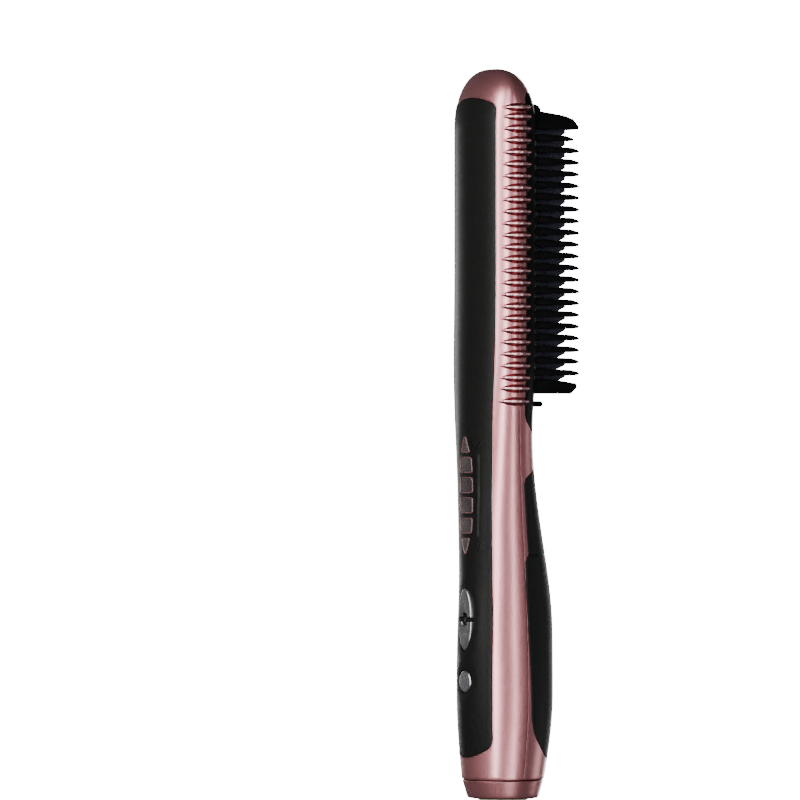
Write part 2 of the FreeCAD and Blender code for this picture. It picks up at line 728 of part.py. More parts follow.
def new_sketch(body, name, role, depth=None):
    """Sketch on one of the body's own planes; depth is an expression along the plane's normal."""
    sketch = body.newObject("Sketcher::SketchObject", f"{body.Label}_{name}")
    sketch.AttachmentSupport = [(origin_part(body, role), "")]
    sketch.MapMode = "FlatFace"
    if depth:
        sketch.setExpression("AttachmentOffset.Base.z", depth)
    return sketch


def tie(sketch, constraint, expression):
    """Adds a sized constraint and binds it to the sheet."""
    index = sketch.addConstraint(constraint)
    sketch.setExpression(f"Constraints[{index}]", expression)


def polygon(sketch, corners):
    """Closed outline whose corners are pairs of expressions."""
    places = [Vector(sketch.evalExpression(x), sketch.evalExpression(y), 0) for x, y in corners]
    lines = [sketch.addGeometry(Part.LineSegment(first, second), False)
             for first, second in zip(places, places[1:] + places[:1])]
    for first, second in zip(lines, lines[1:] + lines[:1]):
        sketch.addConstraint(Sketcher.Constraint("Coincident", first, 2, second, 1))
    for line, place, (x, y) in zip(lines, places, corners):
        tie(sketch, Sketcher.Constraint("DistanceX", -1, 1, line, 1, place.x), x)
        tie(sketch, Sketcher.Constraint("DistanceY", -1, 1, line, 1, place.y), y)


def rectangle(sketch, left, right, low, high):
    polygon(sketch, [(left, low), (right, low), (right, high), (left, high)])


def circle(sketch, x, y, radius):
    center = Vector(sketch.evalExpression(x), sketch.evalExpression(y), 0)
    ring = sketch.addGeometry(Part.Circle(center, Vector(0, 0, 1), sketch.evalExpression(radius)), False)
    tie(sketch, Sketcher.Constraint("DistanceX", -1, 1, ring, 3, center.x), x)
    tie(sketch, Sketcher.Constraint("DistanceY", -1, 1, ring, 3, center.y), y)
    tie(sketch, Sketcher.Constraint("Radius", ring, sketch.evalExpression(radius)), radius)


def pad(body, sketch, name, length):
    """Pad towards +Y from a sketch on the XZ plane."""
    feature = body.newObject("PartDesign::Pad", f"{body.Label}_{name}")
    feature.Profile = sketch
    feature.setExpression("Length", length)
    feature.Reversed = True
    body.Tip = feature
    return feature


def revolved(label, corners):
    """Ring turned round Z from an outline of radius and height."""
    body = new_body(label)
    sketch = new_sketch(body, "outline", "XZ_Plane")
    polygon(sketch, corners)
    turn = body.newObject("PartDesign::Revolution", f"{label}_turn")
    turn.Profile = sketch
    turn.ReferenceAxis = (sketch, ["V_Axis"])
    turn.Angle = 360.0
    body.Tip = turn
    return body


GLAND_TOP = "Sizes.gland_proud + Sizes.cap_floor"
revolved("cord_gland", [
    ("Sizes.gland_bore", "0 * Sizes.gland_bore"),
    ("Sizes.gland_radius", "0 * Sizes.gland_bore"),
    ("Sizes.gland_radius", "Sizes.gland_proud"),
    ("Sizes.gland_neck", "Sizes.gland_proud"),
    ("Sizes.gland_neck", GLAND_TOP),
    ("Sizes.gland_bore", GLAND_TOP),
])


def power_button():
    body = new_body("power_button")
    face_depth = "Sizes.swell_front + Sizes.button_proud"
    key = new_sketch(body, "key", "XZ_Plane", face_depth)
    circle(key, "0 * Sizes.power_z", "Sizes.power_z", "Sizes.power_radius")
    pad(body, key, "key_pad", "Sizes.button_depth")
    flange = new_sketch(body, "flange", "XZ_Plane", face_depth + " - Sizes.button_depth")
    circle(flange, "0 * Sizes.power_z", "Sizes.power_z", "Sizes.power_radius + Sizes.flange_lip")
    pad(body, flange, "flange_pad", "Sizes.button_flange")


def control_board():
    body = new_body("control_board")
    sketch = new_sketch(body, "outline", "XZ_Plane", "Sizes.board_front")
    rectangle(sketch, "-Sizes.board_half", "Sizes.board_half", "Sizes.board_low_z", "Sizes.board_high_z")
    pad(body, sketch, "board", "Sizes.board_thick")


STEP = "(Sizes.total_length - Sizes.guard_top_drop - Sizes.guard_low_z) / (Sizes.guard_count - 1)"
PLATE = "Sizes.comb_plane - Sizes.comb_plate"
OPENING_LOW = "Sizes.guard_low_z - Sizes.end_guard_space"
OPENING_HIGH = f"Sizes.total_length - Sizes.guard_top_drop + {STEP} + Sizes.end_guard_space"


def heater_plate():
    """Flange behind the guard comb, a raised plate in its opening, and three rows of teeth."""
    body = new_body("heater_plate")
    flange = new_sketch(body, "flange", "XZ_Plane", f"-({PLATE} - Sizes.heater_flange)")
    rectangle(flange, "-Sizes.heater_flange_half", "Sizes.heater_flange_half",
              OPENING_LOW + " - Sizes.comb_plate", OPENING_HIGH + " + Sizes.comb_plate")
    pad(body, flange, "flange_pad", "Sizes.heater_flange")
    raised = new_sketch(body, "raised", "XZ_Plane", f"-({PLATE})")
    half = "(Sizes.window_half - Sizes.fit_gap)"
    rectangle(raised, f"-{half}", half, OPENING_LOW + " + Sizes.fit_gap", OPENING_HIGH + " - Sizes.fit_gap")
    pad(body, raised, "raised_pad", f"Sizes.heater_rise - ({PLATE})")
    teeth = new_sketch(body, "teeth", "XZ_Plane", "-Sizes.heater_rise")
    low = OPENING_LOW + " + Sizes.heat_end_gap"
    for row in ("-Sizes.heat_row", "0 * Sizes.heat_row", "Sizes.heat_row"):
        rectangle(teeth, f"{row} - Sizes.heat_tooth_width / 2", f"{row} + Sizes.heat_tooth_width / 2",
                  low, low + " + Sizes.heat_tooth_thick")
    tooth_pad = pad(body, teeth, "teeth_pad", "Sizes.heat_tooth_length")
    doc.recompute()
    rows = body.newObject("PartDesign::LinearPattern", "heater_plate_rows")
    rows.Originals = [tooth_pad]
    rows.Direction = (origin_part(body, "Z_Axis"), [""])
    ends = "2 * Sizes.heat_end_gap + Sizes.heat_tooth_thick"
    rows.setExpression("Length", f"{OPENING_HIGH} - ({OPENING_LOW}) - ({ends})")
    rows.setExpression("Occurrences", "Sizes.guard_count + 2")
    body.Tip = rows


power_button()
control_board()
heater_plate()


# Plain pieces of the heater's stack

def block(label, lengths, base):
    """Block whose three lengths and base corner are expressions."""
    node = doc.addObject("Part::Box", label)
    node.Label = label
    for name, expression in zip(("Length", "Width", "Height"), lengths):
        node.setExpression(name, expression)
    for name, expression in zip("xyz", base):
        node.setExpression(f"Placement.Base.{name}", expression)
    NODES.append(node)


MIDDLE = f"({OPENING_LOW} + {OPENING_HIGH}) / 2"
PTC_LOW = f"{OPENING_LOW} + Sizes.ptc_margin"
PTC_SPAN = f"({OPENING_HIGH} - ({OPENING_LOW}) - 2 * Sizes.ptc_margin)"
PTC_LENGTH = f"({PTC_SPAN} - Sizes.ptc_space) / 2"
PTC_Y = f"{PLATE} - Sizes.heater_flange - Sizes.ptc_thick"
SHEET_Y = f"{PTC_Y} - Sizes.sheet_thick"
CLAMP_Y = f"{SHEET_Y} - Sizes.clamp_thick"
SHIELD_Y = f"{CLAMP_Y} - Sizes.shield_thick"
SHIELD_HALF = "(Sizes.head_half - Sizes.wall - 3 * Sizes.fit_gap)"
ptc_lengths = ("2 * Sizes.ptc_half", "Sizes.ptc_thick", PTC_LENGTH)
block("lower_ptc_heater", ptc_lengths, ("-Sizes.ptc_half", PTC_Y, PTC_LOW))
block("upper_ptc_heater", ptc_lengths, ("-Sizes.ptc_half", PTC_Y, f"{MIDDLE} + Sizes.ptc_space / 2"))
block("insulation_sheet", ("2 * Sizes.clamp_half", "Sizes.sheet_thick", PTC_SPAN),
      ("-Sizes.clamp_half", SHEET_Y, PTC_LOW))
block("heater_clamp", ("2 * Sizes.clamp_half", "Sizes.clamp_thick", PTC_SPAN),
      ("-Sizes.clamp_half", CLAMP_Y, PTC_LOW))
block("heat_shield", (f"2 * {SHIELD_HALF}", "Sizes.shield_thick", PTC_SPAN),
      (f"-{SHIELD_HALF}", SHIELD_Y, PTC_LOW))
block("thermistor", ("2 * Sizes.sensor_half", "Sizes.sensor_thick", "2 * Sizes.sensor_half"),
      ("-Sizes.sensor_half", f"{PLATE} - Sizes.heater_flange - Sizes.sensor_thick",
       f"{MIDDLE} - Sizes.sensor_half"))

fuse = doc.addObject("Part::Cylinder", "thermal_fuse")
fuse.Label = "thermal_fuse"
fuse.setExpression("Radius", "Sizes.fuse_radius")
fuse.setExpression("Height", "Sizes.fuse_length")
fuse.setExpression("Placement.Base.x", "Sizes.fuse_side")
fuse.setExpression("Placement.Base.y", f"{PLATE} - Sizes.heater_flange - Sizes.fuse_radius")
fuse.setExpression("Placement.Base.z", f"{MIDDLE} - Sizes.fuse_length / 2")
NODES.append(fuse)

doc.recompute()
for item in doc.Objects:
    if "Invalid" in item.State or "Error" in item.State:
        raise RuntimeError(f"{item.Label} failed: {item.State}")
for node in NODES:
    if node.Shape.isNull() or not node.Shape.isValid():
        raise RuntimeError(f"{node.Label} has no valid shape")

os.makedirs("parts", exist_ok=True)
for node in NODES:
    node.Shape.exportStep(os.path.join("parts", f"{node.Label}.step"))
    print(node.Label, len(node.Shape.Solids), round(node.Shape.Volume, 1))
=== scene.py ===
"""Looks of a hair straightening comb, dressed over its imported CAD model. Forms are worked out in
millimetres, in the model's own frame, and become metres when a piece is made."""
import math

import bmesh
import bpy
from mathutils import Matrix, Vector


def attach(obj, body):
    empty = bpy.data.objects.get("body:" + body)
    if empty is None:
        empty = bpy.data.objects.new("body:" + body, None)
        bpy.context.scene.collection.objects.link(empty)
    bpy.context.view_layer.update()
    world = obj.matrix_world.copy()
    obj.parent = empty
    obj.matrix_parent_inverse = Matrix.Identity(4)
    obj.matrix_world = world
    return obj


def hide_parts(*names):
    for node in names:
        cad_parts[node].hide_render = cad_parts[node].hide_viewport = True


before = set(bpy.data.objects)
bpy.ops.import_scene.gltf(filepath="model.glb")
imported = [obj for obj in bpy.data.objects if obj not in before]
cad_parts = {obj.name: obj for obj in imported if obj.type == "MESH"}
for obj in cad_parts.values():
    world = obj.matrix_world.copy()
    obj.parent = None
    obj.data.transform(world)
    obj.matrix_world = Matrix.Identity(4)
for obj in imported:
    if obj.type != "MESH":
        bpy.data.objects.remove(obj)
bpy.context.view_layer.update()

MM = 0.001
HOUSING = "housing"

# The body's form: the solids' own, eased a little where the photograph asks for it
TOP = 270.0
CAP_SEAM = 8.0
TAIL_RADIUS = 15.2
SWELL_Z, SWELL_HALF, SWELL_FRONT, SWELL_REAR = 40.0, 17.8, 17.0, 18.5
WAIST_Z, WAIST_HALF = 80.0, 16.85
FALL_START, FALL_END = 62.0, 146.0
WIDEN_START, WIDEN_END = 92.0, 172.0
FRONT_DIP, FRONT_BELLY = (82.0, 28.0, 0.55), (150.0, 46.0, 0.65)
HEAD_Z, HEAD_HALF, HEAD_FRONT, COMB_PLANE = 168.0, 20.4, 15.5, 4.8
HEAD_FLAT, HANDLE_FLAT, TAIL_FLAT = 15.3, 0.8, 0.3
DOME_HEIGHT, DOME_END, SIDE_POWER, DEPTH_POWER = 22.0, 0.995, 2.8, 1.88
SEAM_START, SEAM_HANDLE, SEAM_HEAD, SEAM_GAP = 55.0, 0.5, -4.7, 0.2
SHELL_WALL, SKIN_WALL, FRAME_WALL, FIT_GAP, CUT_DEPTH = 1.6, 1.2, 1.6, 0.15, 3.0

# Borders of the panel, the rear pads and the comb's frame
PANEL_HALF = 16.0
PANEL_SIDES = ((16.0, 11.8), (28.0, 12.3), (36.0, 12.6), (60.0, 12.5), (82.0, 11.9), (96.0, 12.0),
               (112.0, 12.4), (128.0, 13.3), (145.0, 14.2), (158.0, 15.0), (168.0, 15.3), (270.0, 15.3))
PANEL_LOW, PANEL_LOW_RISE, PANEL_HIGH, PANEL_HIGH_FALL = 16.0, 9.0, 259.3, 3.6
GRIP_LOW, GRIP_LOW_RISE, PAD_HALF, GRIP_HIGH = 13.0, 9.0, 18.6, 91.0
GRIP_EDGE_LOW, GRIP_EDGE_HIGH = 3.0, -0.25
NECK_LOW, NECK_HIGH, NECK_FALL, NECK_EDGE = 90.9, 127.5, 9.0, 1.3
COMB_SEAT, COMB_HALF = -1.6, 19.7
COMB_LOW, COMB_LOW_RISE, COMB_HIGH, COMB_HIGH_FALL = 129.6, 11.0, 262.0, 1.5
LINE_INSET, LINE_GROW, LINE_RADIUS = 0.12, 0.22, 0.28
# Their corners: radius, and the half width that it is a share of
PANEL_CORNER, NECK_CORNER = (2.8, 14.0), (3.0, 20.0)
GRIP_CORNER, GRIP_FOOT_CORNER = (3.0, 24.0), (10.0, 24.0)
COMB_CORNER, COMB_FOOT_CORNER = (2.2, 23.0), (3.5, 23.0)
# Rounds in which a region's height and its borders settle, and how far round the front it may reach
PANEL_ROUNDS, REAR_ROUNDS, WIDEST_TURN = 5, 6, 0.97

# Ribs and teeth
RIB_COUNT, RIB_LOW, RIB_HIGH, RIB_ROOT = 26, 147.3, 256.1, 0.5
RIB_FRONT, RIB_REAR, RIB_REACH, RIB_HALF, RIB_LEAN = -10.0, -0.6, 2.75, 1.75, 1.0
RIB_SHIFTS = {1: 0.4, 25: -0.9}
# A rib's faces near its crest and past its front point take a painted highlight; its other faces and its
# point take painted shade
PAINTED_HIGHLIGHT_BAND, PAINTED_HIGHLIGHT_START = 0.36, 0.12
TOOTH_COUNT, TOOTH_LOW, TOOTH_HIGH = 20, 158.1, 240.2
TOOTH_STEP = (TOOTH_HIGH - TOOTH_LOW) / (TOOTH_COUNT - 1)
GUARD_ROW, GUARD_WIDTH, GUARD_HALF, GUARD_TIP, GUARD_BEVEL = 13.7, 2.8, 1.3, 24.3, 0.3
ROOT_Y = 3.7
LOW_GUARD = (150.1, 154.9)
TOP_GUARD = (247.72, 254.22)
SHORT_TIP, END_GUARD_TIP = GUARD_TIP - 2.4, 23.1
TOP_GUARD_SLOPE = ((0.0, 0.0), (0.0, 0.2), (0.35, 0.6), (1.0, 0.8), (2.5, 1.0))
TOP_GUARD_SHOULDER = ((7.5, 0.9), (6.8, 1.9), (5.4, 2.5), (ROOT_Y, 2.7))
PEG_Z, PEG_RADIUS, PEG_TIP, PEG_ROUND = 146.4, 1.1, 8.8, 0.8
WINDOW_HALF = 10.6
PLATE_UNDER, HEATER_RISE = 2.6, 4.2
HEAT_ROWS, HEAT_WIDTH, HEAT_THICK, HEAT_TIP, HEAT_END = (-7.2, 0.0, 7.2), 4.4, 2.8, 21.3, 1.45
HEAT_SLANT, HEAT_ROOT, HEAT_BEVEL = 3.2, HEATER_RISE - 0.5, 0.22

# Controls and the dot on the tail cap
ROCKER_Z, ROCKER_TALL, ROCKER_WIDE = 67.0, 11.45, 4.6
POWER_Z, POWER_RADIUS, BUTTON_GAP = 44.1, 4.15, 0.3
KEY_DEPTH, KEY_SINK, KEY_SPLIT, KEY_ROUND, NOTCH_RADIUS = 2.6, 0.8, 0.825, 0.55, 2.4
SIGN_OFFSET, SIGN_HALF, SIGN_PROUD, SIGN_SINK, SIGN_BEVEL = 5.6, 1.9, 0.03, 0.3, 0.06
PLUS_STROKE, MINUS_STROKE, POWER_STROKE = 0.2, 0.22, 0.24
ARC_X, ARC_Z, ARC_STROKE, ARC_TURN = 0.9, 2.1, 0.17, 313
DOT_X, DOT_Z, CAP_RADIUS_AT_DOT = -1.4, 3.5, 13.83
LAMP_ROW_Z, LAMP_STEP, LAMP_TALL = 112.75, 7.45, 2.85
LAMP_ENDS = ((3.0, 0.6), (4.6, 4.0), (4.6, 4.6), (4.6, 4.6), (4.0, 4.6), (0.6, 3.0))
LENS_HEIGHT, LENS_SINK, LENS_EDGE, LENS_DEEP = 0.22, 0.06, 0.2, 0.8
RIM_AT, RIM_HEIGHT, RIM_RADIUS = 0.97, 0.08, 0.24
FIGURE_TALL, FIGURE_SHARE, FIGURE_DEEP, FIGURE_BEVEL, FIGURE_SINK = 3.1, 0.7, 0.14, 0.06, 0.04
WEDGE_LOW, WEDGE_HIGH, WEDGE_FOOT, WEDGE_TOP = 97.6, 127.8, (6.5, 7.6), (5.4, 8.7)
# Dishes of the panel: middle height, half width, half height and depth
DISHES = ((ROCKER_Z, ROCKER_WIDE + 3.4, ROCKER_TALL + 4.6, 1.2),
          (POWER_Z, POWER_RADIUS + 3.6, POWER_RADIUS + 3.6, 1.2),
          (LAMP_ROW_Z, 9.5, 32.0, 0.6))
# Blocks that cut the keys' openings reach over these depths
OPENING_FRONT, OPENING_REAR = -22.0, -10.0


# Form of the body

def share_of(z, start, end):
    """Share of the way from start to end, held between 0 and 1."""
    return min(max((z - start) / (end - start), 0.0), 1.0)


def rise(z, start, end):
    return math.sin(share_of(z, start, end) * math.pi / 2)


def ease(z, start, end):
    return (1 - math.cos(share_of(z, start, end) * math.pi)) / 2


def bell(z, middle, half, height):
    return height * math.cos(min(abs(z - middle) / half, 1.0) * math.pi / 2) ** 2


def grown(z, tail, swell, head, start, end):
    """A measure that grows from the tail to the swell and then eases over to its value at the head."""
    return tail + (swell - tail) * rise(z, CAP_SEAM, SWELL_Z) + (head - swell) * ease(z, start, end)


def section(z, inset=0.0):
    """Seam depth, half width, front, rear and flat of the body at a height, drawn in by inset."""
    seam = grown(z, 0.0, SEAM_HANDLE, SEAM_HEAD, SEAM_START, HEAD_Z)
    side = grown(z, TAIL_RADIUS, SWELL_HALF, WAIST_HALF, SWELL_Z, WAIST_Z)
    side += (HEAD_HALF - WAIST_HALF) * ease(z, WIDEN_START, WIDEN_END)
    front = grown(z, TAIL_RADIUS, SWELL_FRONT, HEAD_FRONT, SWELL_Z, HEAD_Z)
    front += bell(z, *FRONT_BELLY) - bell(z, *FRONT_DIP)
    rear = grown(z, TAIL_RADIUS, SWELL_REAR, COMB_PLANE, FALL_START, FALL_END)
    flat = grown(z, TAIL_FLAT, HANDLE_FLAT, HEAD_FLAT, WAIST_Z, HEAD_Z)
    share = min(max(z - TOP + DOME_HEIGHT, 0.0) / (DOME_HEIGHT - inset), 1.0) * DOME_END
    side_scale = (1 - share ** SIDE_POWER) ** (1 / SIDE_POWER)
    depth_scale = (1 - share ** DEPTH_POWER) ** (1 / DEPTH_POWER)
    return (seam, (side - inset) * side_scale, (inset - front - seam) * depth_scale,
            (rear - inset - seam) * depth_scale, flat * side_scale)


def front_point(z, turn, inset=0.0):
    """Skin of the front half: turn runs from -1 at the left seam to 1 at the right one."""
    seam, side, front, rear, flat = section(z, inset)
    angle = turn * math.pi / 2
    return Vector((side * math.sin(angle), seam + front * math.cos(angle), z))


def rear_quarter(z):
    """Share of the way from the seam to the middle of the back that is rounded."""
    seam, side, front, rear, flat = section(z)
    curve = math.pi / 4 * (side - flat + rear)
    return curve / (curve + flat)


def rear_point(z, turn, inset=0.0):
    """Skin of the rear half: turn runs from -1 at the left seam over 0 at the back to 1."""
    seam, side, front, rear, flat = section(z, inset)
    way = 1 - abs(turn)
    quarter = rear_quarter(z)
    if way < quarter:
        angle = way / quarter * math.pi / 2
        x, y = flat + (side - flat) * math.cos(angle), seam + rear * math.sin(angle)
    else:
        x, y = flat * (1 - way) / (1 - quarter), seam + rear
    return Vector((math.copysign(x, turn), y, z))


def front_y(x, z, inset=0.0):
    seam, side, front, rear, flat = section(z, inset)
    return seam + front * math.sqrt(max(1 - (x / side) ** 2, 0.0))


def side_x(z, y):
    seam, side, front, rear, flat = section(z)
    if y < seam:
        return side * math.sqrt(1 - ((y - seam) / front) ** 2)
    return flat + (side - flat) * math.sqrt(max(1 - ((y - seam) / rear) ** 2, 0.0))


def arc_drop(x, half, drop):
    """How far an arc that drops at its half width has dropped at x."""
    radius = (half * half + drop * drop) / (2 * drop)
    return radius - math.sqrt(max(radius * radius - x * x, 0.0))


# Making pieces

def smooth_edges(bm, sharp):
    """Leaves only borders and edges above an angle sharp."""
    bm.normal_update()
    for edge in bm.edges:
        edge.smooth = len(edge.link_faces) == 2 and edge.calc_face_angle(0.0) < math.radians(sharp)


def finish_piece(name, bm, material=None, body=HOUSING, sharp=40.0):
    """A bmesh in millimetres becomes a smooth piece in metres that rides on a body. Without a material
    it is a cutter or the floor, which rides on nothing."""
    bmesh.ops.scale(bm, vec=(MM, MM, MM), verts=bm.verts)
    for face in bm.faces:
        face.smooth = True
    smooth_edges(bm, sharp)
    mesh = bpy.data.meshes.new(name)
    bm.to_mesh(mesh)
    bm.free()
    piece = bpy.data.objects.new(name, mesh)
    bpy.context.scene.collection.objects.link(piece)
    if material:
        mesh.materials.append(material)
        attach(piece, body)
    return piece


def mapped_grid(columns, rows, place):
    """Grid whose points go where place puts them; columns and rows hold what place is given."""
    bm = bmesh.new()
    bmesh.ops.create_grid(bm, x_segments=len(columns) - 1, y_segments=len(rows) - 1, size=1.0)
    for vert in bm.verts:
        column = round((vert.co.x + 1) / 2 * (len(columns) - 1))
        row = round((vert.co.y + 1) / 2 * (len(rows) - 1))
        vert.co = place(columns[column], rows[row])
    return bm


def new_verts(items):
    return [item for item in items if isinstance(item, bmesh.types.BMVert)]


def sweep(bm, faces, way):
    """Draws flat faces out into a closed block."""
    swept = bmesh.ops.extrude_face_region(bm, geom=faces)["geom"]
    bmesh.ops.translate(bm, vec=way, verts=new_verts(swept))
    bmesh.ops.recalc_face_normals(bm, faces=bm.faces)


def round_edges(bm, edges, radius, segments, clamp=True):
    bmesh.ops.bevel(bm, geom=edges, offset=radius, offset_type="OFFSET", segments=segments, profile=0.5,
                    affect="EDGES", material=-1, clamp_overlap=clamp)


def thicken(bm, wall):
    """Turns an open skin's faces away from the body's axis and closes it by a wall on its inner side."""
    bm.normal_update()
    outward = sum(face.normal.xy.dot(face.calc_center_median().xy) for face in bm.faces)
    if outward < 0:
        bmesh.ops.reverse_faces(bm, faces=bm.faces)
    bmesh.ops.solidify(bm, geom=bm.faces[:], thickness=wall)
    bmesh.ops.recalc_face_normals(bm, faces=bm.faces)


def sink_border(bm, way):
    """Closes an open skin by sides that run down from its border and a floor."""
    border = [edge for edge in bm.edges if edge.is_boundary]
    swept = bmesh.ops.extrude_edge_only(bm, edges=border)["geom"]
    bmesh.ops.translate(bm, vec=way, verts=new_verts(swept))
    bmesh.ops.holes_fill(bm, edges=[edge for edge in bm.edges if edge.is_boundary], sides=0)
    bmesh.ops.recalc_face_normals(bm, faces=bm.faces)


def join_into(whole, part):
    """Adds a finished shape to a larger bmesh."""
    mesh = bpy.data.meshes.new("part")
    part.to_mesh(mesh)
    part.free()
    whole.from_mesh(mesh)
    bpy.data.meshes.remove(mesh)


def even(start, end, count):
    """Values from start to end in count equal steps."""
    return [start + (end - start) * index / count for index in range(count + 1)]


def rounded_steps(start, end, count, radius, half):
    """Steps from start to end, each with how far the skin is drawn in there to round its border."""
    edge = radius / half
    angles = [math.radians(degrees) for degrees in (90, 60, 30)]
    border = [(edge * (1 - math.sin(angle)), radius * (1 - math.cos(angle))) for angle in angles]
    low = [(start + way, inset) for way, inset in border]
    high = [(end - way, inset) for way, inset in reversed(border)]
    middle = [(value, 0.0) for value in even(start + edge, end - edge, count)]
    return low + middle + high


def region_skin(region, radius, half, tall, columns, rows, wall=SKIN_WALL):
    """Closed skin over a region of the body, with a rounded border. half and tall are about the region's
    half width and height."""
    across = rounded_steps(-1.0, 1.0, columns, radius, half)
    along = rounded_steps(0.0, 1.0, rows, radius, tall)
    bm = mapped_grid(across, along, lambda column, row: region(
        column[0], row[0], min(column[1] + row[1], radius)))
    thicken(bm, wall)
    return bm


def mapped_block(columns, rows, place, inner, outer):
    """Closed block between two skins of one grid; place is given a column, a row and a depth."""
    bm = bmesh.new()
    column_of, row_of = bm.verts.layers.int.new("column"), bm.verts.layers.int.new("row")
    bmesh.ops.create_grid(bm, x_segments=len(columns) - 1, y_segments=len(rows) - 1, size=1.0)
    for vert in bm.verts:
        vert[column_of] = round((vert.co.x + 1) / 2 * (len(columns) - 1))
        vert[row_of] = round((vert.co.y + 1) / 2 * (len(rows) - 1))
        vert.co = place(columns[vert[column_of]], rows[vert[row_of]], inner)
    swept = bmesh.ops.extrude_face_region(bm, geom=bm.faces[:])["geom"]
    for vert in new_verts(swept):
        vert.co = place(columns[vert[column_of]], rows[vert[row_of]], outer)
    bmesh.ops.remove_doubles(bm, verts=bm.verts, dist=0.002)
    bmesh.ops.recalc_face_normals(bm, faces=bm.faces)
    return bm


def region_cutter(name, region):
    """Block through the body's skin that is a little larger than a region."""
    bm = mapped_block(even(-1.0, 1.0, 60), even(0.0, 1.0, 110),
                      lambda u, v, depth: region(u, v, depth, FIT_GAP), CUT_DEPTH, -CUT_DEPTH)
    return finish_piece(name, bm)


def evaluated_mesh(item):
    bpy.context.view_layer.update()
    return bpy.data.meshes.new_from_object(item.evaluated_get(bpy.context.evaluated_depsgraph_get()))


def cut_piece(piece, cutters):
    """Cuts blocks out of a piece and leaves only its own mesh behind."""
    for cutter in cutters:
        cut = piece.modifiers.new("cut", "BOOLEAN")
        cut.object = cutter
        cut.operation = "DIFFERENCE"
        cut.solver = "EXACT"
    shaped = evaluated_mesh(piece)
    piece.modifiers.clear()
    piece.data = shaped
    bm = bmesh.new()
    bm.from_mesh(shaped)
    bmesh.ops.remove_doubles(bm, verts=bm.verts, dist=0.01 * MM)
    smooth_edges(bm, 35.0)
    bm.to_mesh(shaped)
    bm.free()


def discard(objects):
    for item in objects:
        bpy.data.objects.remove(item)


# Regions of the body: u across from -1 to 1, v up from 0 to 1

def corner_rise(u, radius, half):
    """How far a region's end is drawn in near its side, to round its corner."""
    way = (abs(u) - 1 + radius / half) * half / radius
    return radius * (1 - math.sqrt(max(1 - max(way, 0.0) ** 2, 0.0)))


def panel_side(z):
    """Half width of the panel at a height, eased between the listed ones."""
    for (low, narrow), (high, wide) in zip(PANEL_SIDES, PANEL_SIDES[1:]):
        if z <= high:
            break
    return narrow + (wide - narrow) * share_of(z, low, high)


def panel_region(u, v, inset, grow=0.0):
    z = PANEL_LOW + v * (PANEL_HIGH - PANEL_LOW)
    for _ in range(PANEL_ROUNDS):
        seam, side, front, rear, flat = section(z)
        edge = math.asin(min((panel_side(z) + grow) / side, WIDEST_TURN)) / (math.pi / 2)
        x = side * math.sin(u * edge * math.pi / 2)
        corner = corner_rise(u, *PANEL_CORNER)
        low = PANEL_LOW - grow + arc_drop(x, PANEL_HALF, PANEL_LOW_RISE) + corner
        high = PANEL_HIGH + grow - arc_drop(x, PANEL_HALF, PANEL_HIGH_FALL) - corner
        z = low + v * (high - low)
    return front_point(z, u * edge, inset)


def rear_region(u, v, inset, edge_y, low_of, high_of):
    """Region of the back whose sides lie at a depth and whose ends are arcs over x."""
    z = low_of(0.0) + v * (high_of(0.0) - low_of(0.0))
    for _ in range(REAR_ROUNDS):
        seam, side, front, rear, flat = section(z)
        edge = math.asin(min(max((edge_y(z) - seam) / rear, 0.0), 1.0)) / (math.pi / 2) * rear_quarter(z)
        point = rear_point(z, u * (1 - edge))
        z = low_of(point.x) + v * (high_of(point.x) - low_of(point.x))
    return rear_point(z, u * (1 - edge), inset)


def grip_region(u, v, inset, grow=0.0):
    corner, foot_corner = corner_rise(u, *GRIP_CORNER), corner_rise(u, *GRIP_FOOT_CORNER)
    return rear_region(
        u, v, inset,
        lambda z: GRIP_EDGE_LOW + (GRIP_EDGE_HIGH - GRIP_EDGE_LOW) * share_of(z, GRIP_LOW, GRIP_HIGH) - grow,
        lambda x: GRIP_LOW - grow + arc_drop(x, PAD_HALF, GRIP_LOW_RISE) + foot_corner,
        lambda x: GRIP_HIGH + grow - corner)


def neck_region(u, v, inset, grow=0.0):
    corner = corner_rise(u, *NECK_CORNER)
    return rear_region(
        u, v, inset,
        lambda z: NECK_EDGE - grow + section(NECK_HIGH)[0] * share_of(z, NECK_LOW, NECK_HIGH),
        lambda x: NECK_LOW - grow,
        lambda x: NECK_HIGH + grow - arc_drop(x, PAD_HALF, NECK_FALL) - corner)


def comb_region(u, v, inset, grow=0.0):
    corner, foot_corner = corner_rise(u, *COMB_CORNER), corner_rise(u, *COMB_FOOT_CORNER)
    return rear_region(
        u, v, inset, lambda z: COMB_SEAT - grow,
        lambda x: COMB_LOW - grow + arc_drop(x, COMB_HALF, COMB_LOW_RISE) + foot_corner,
        lambda x: COMB_HIGH + grow - arc_drop(x, COMB_HALF, COMB_HIGH_FALL) - corner)


# Finishes

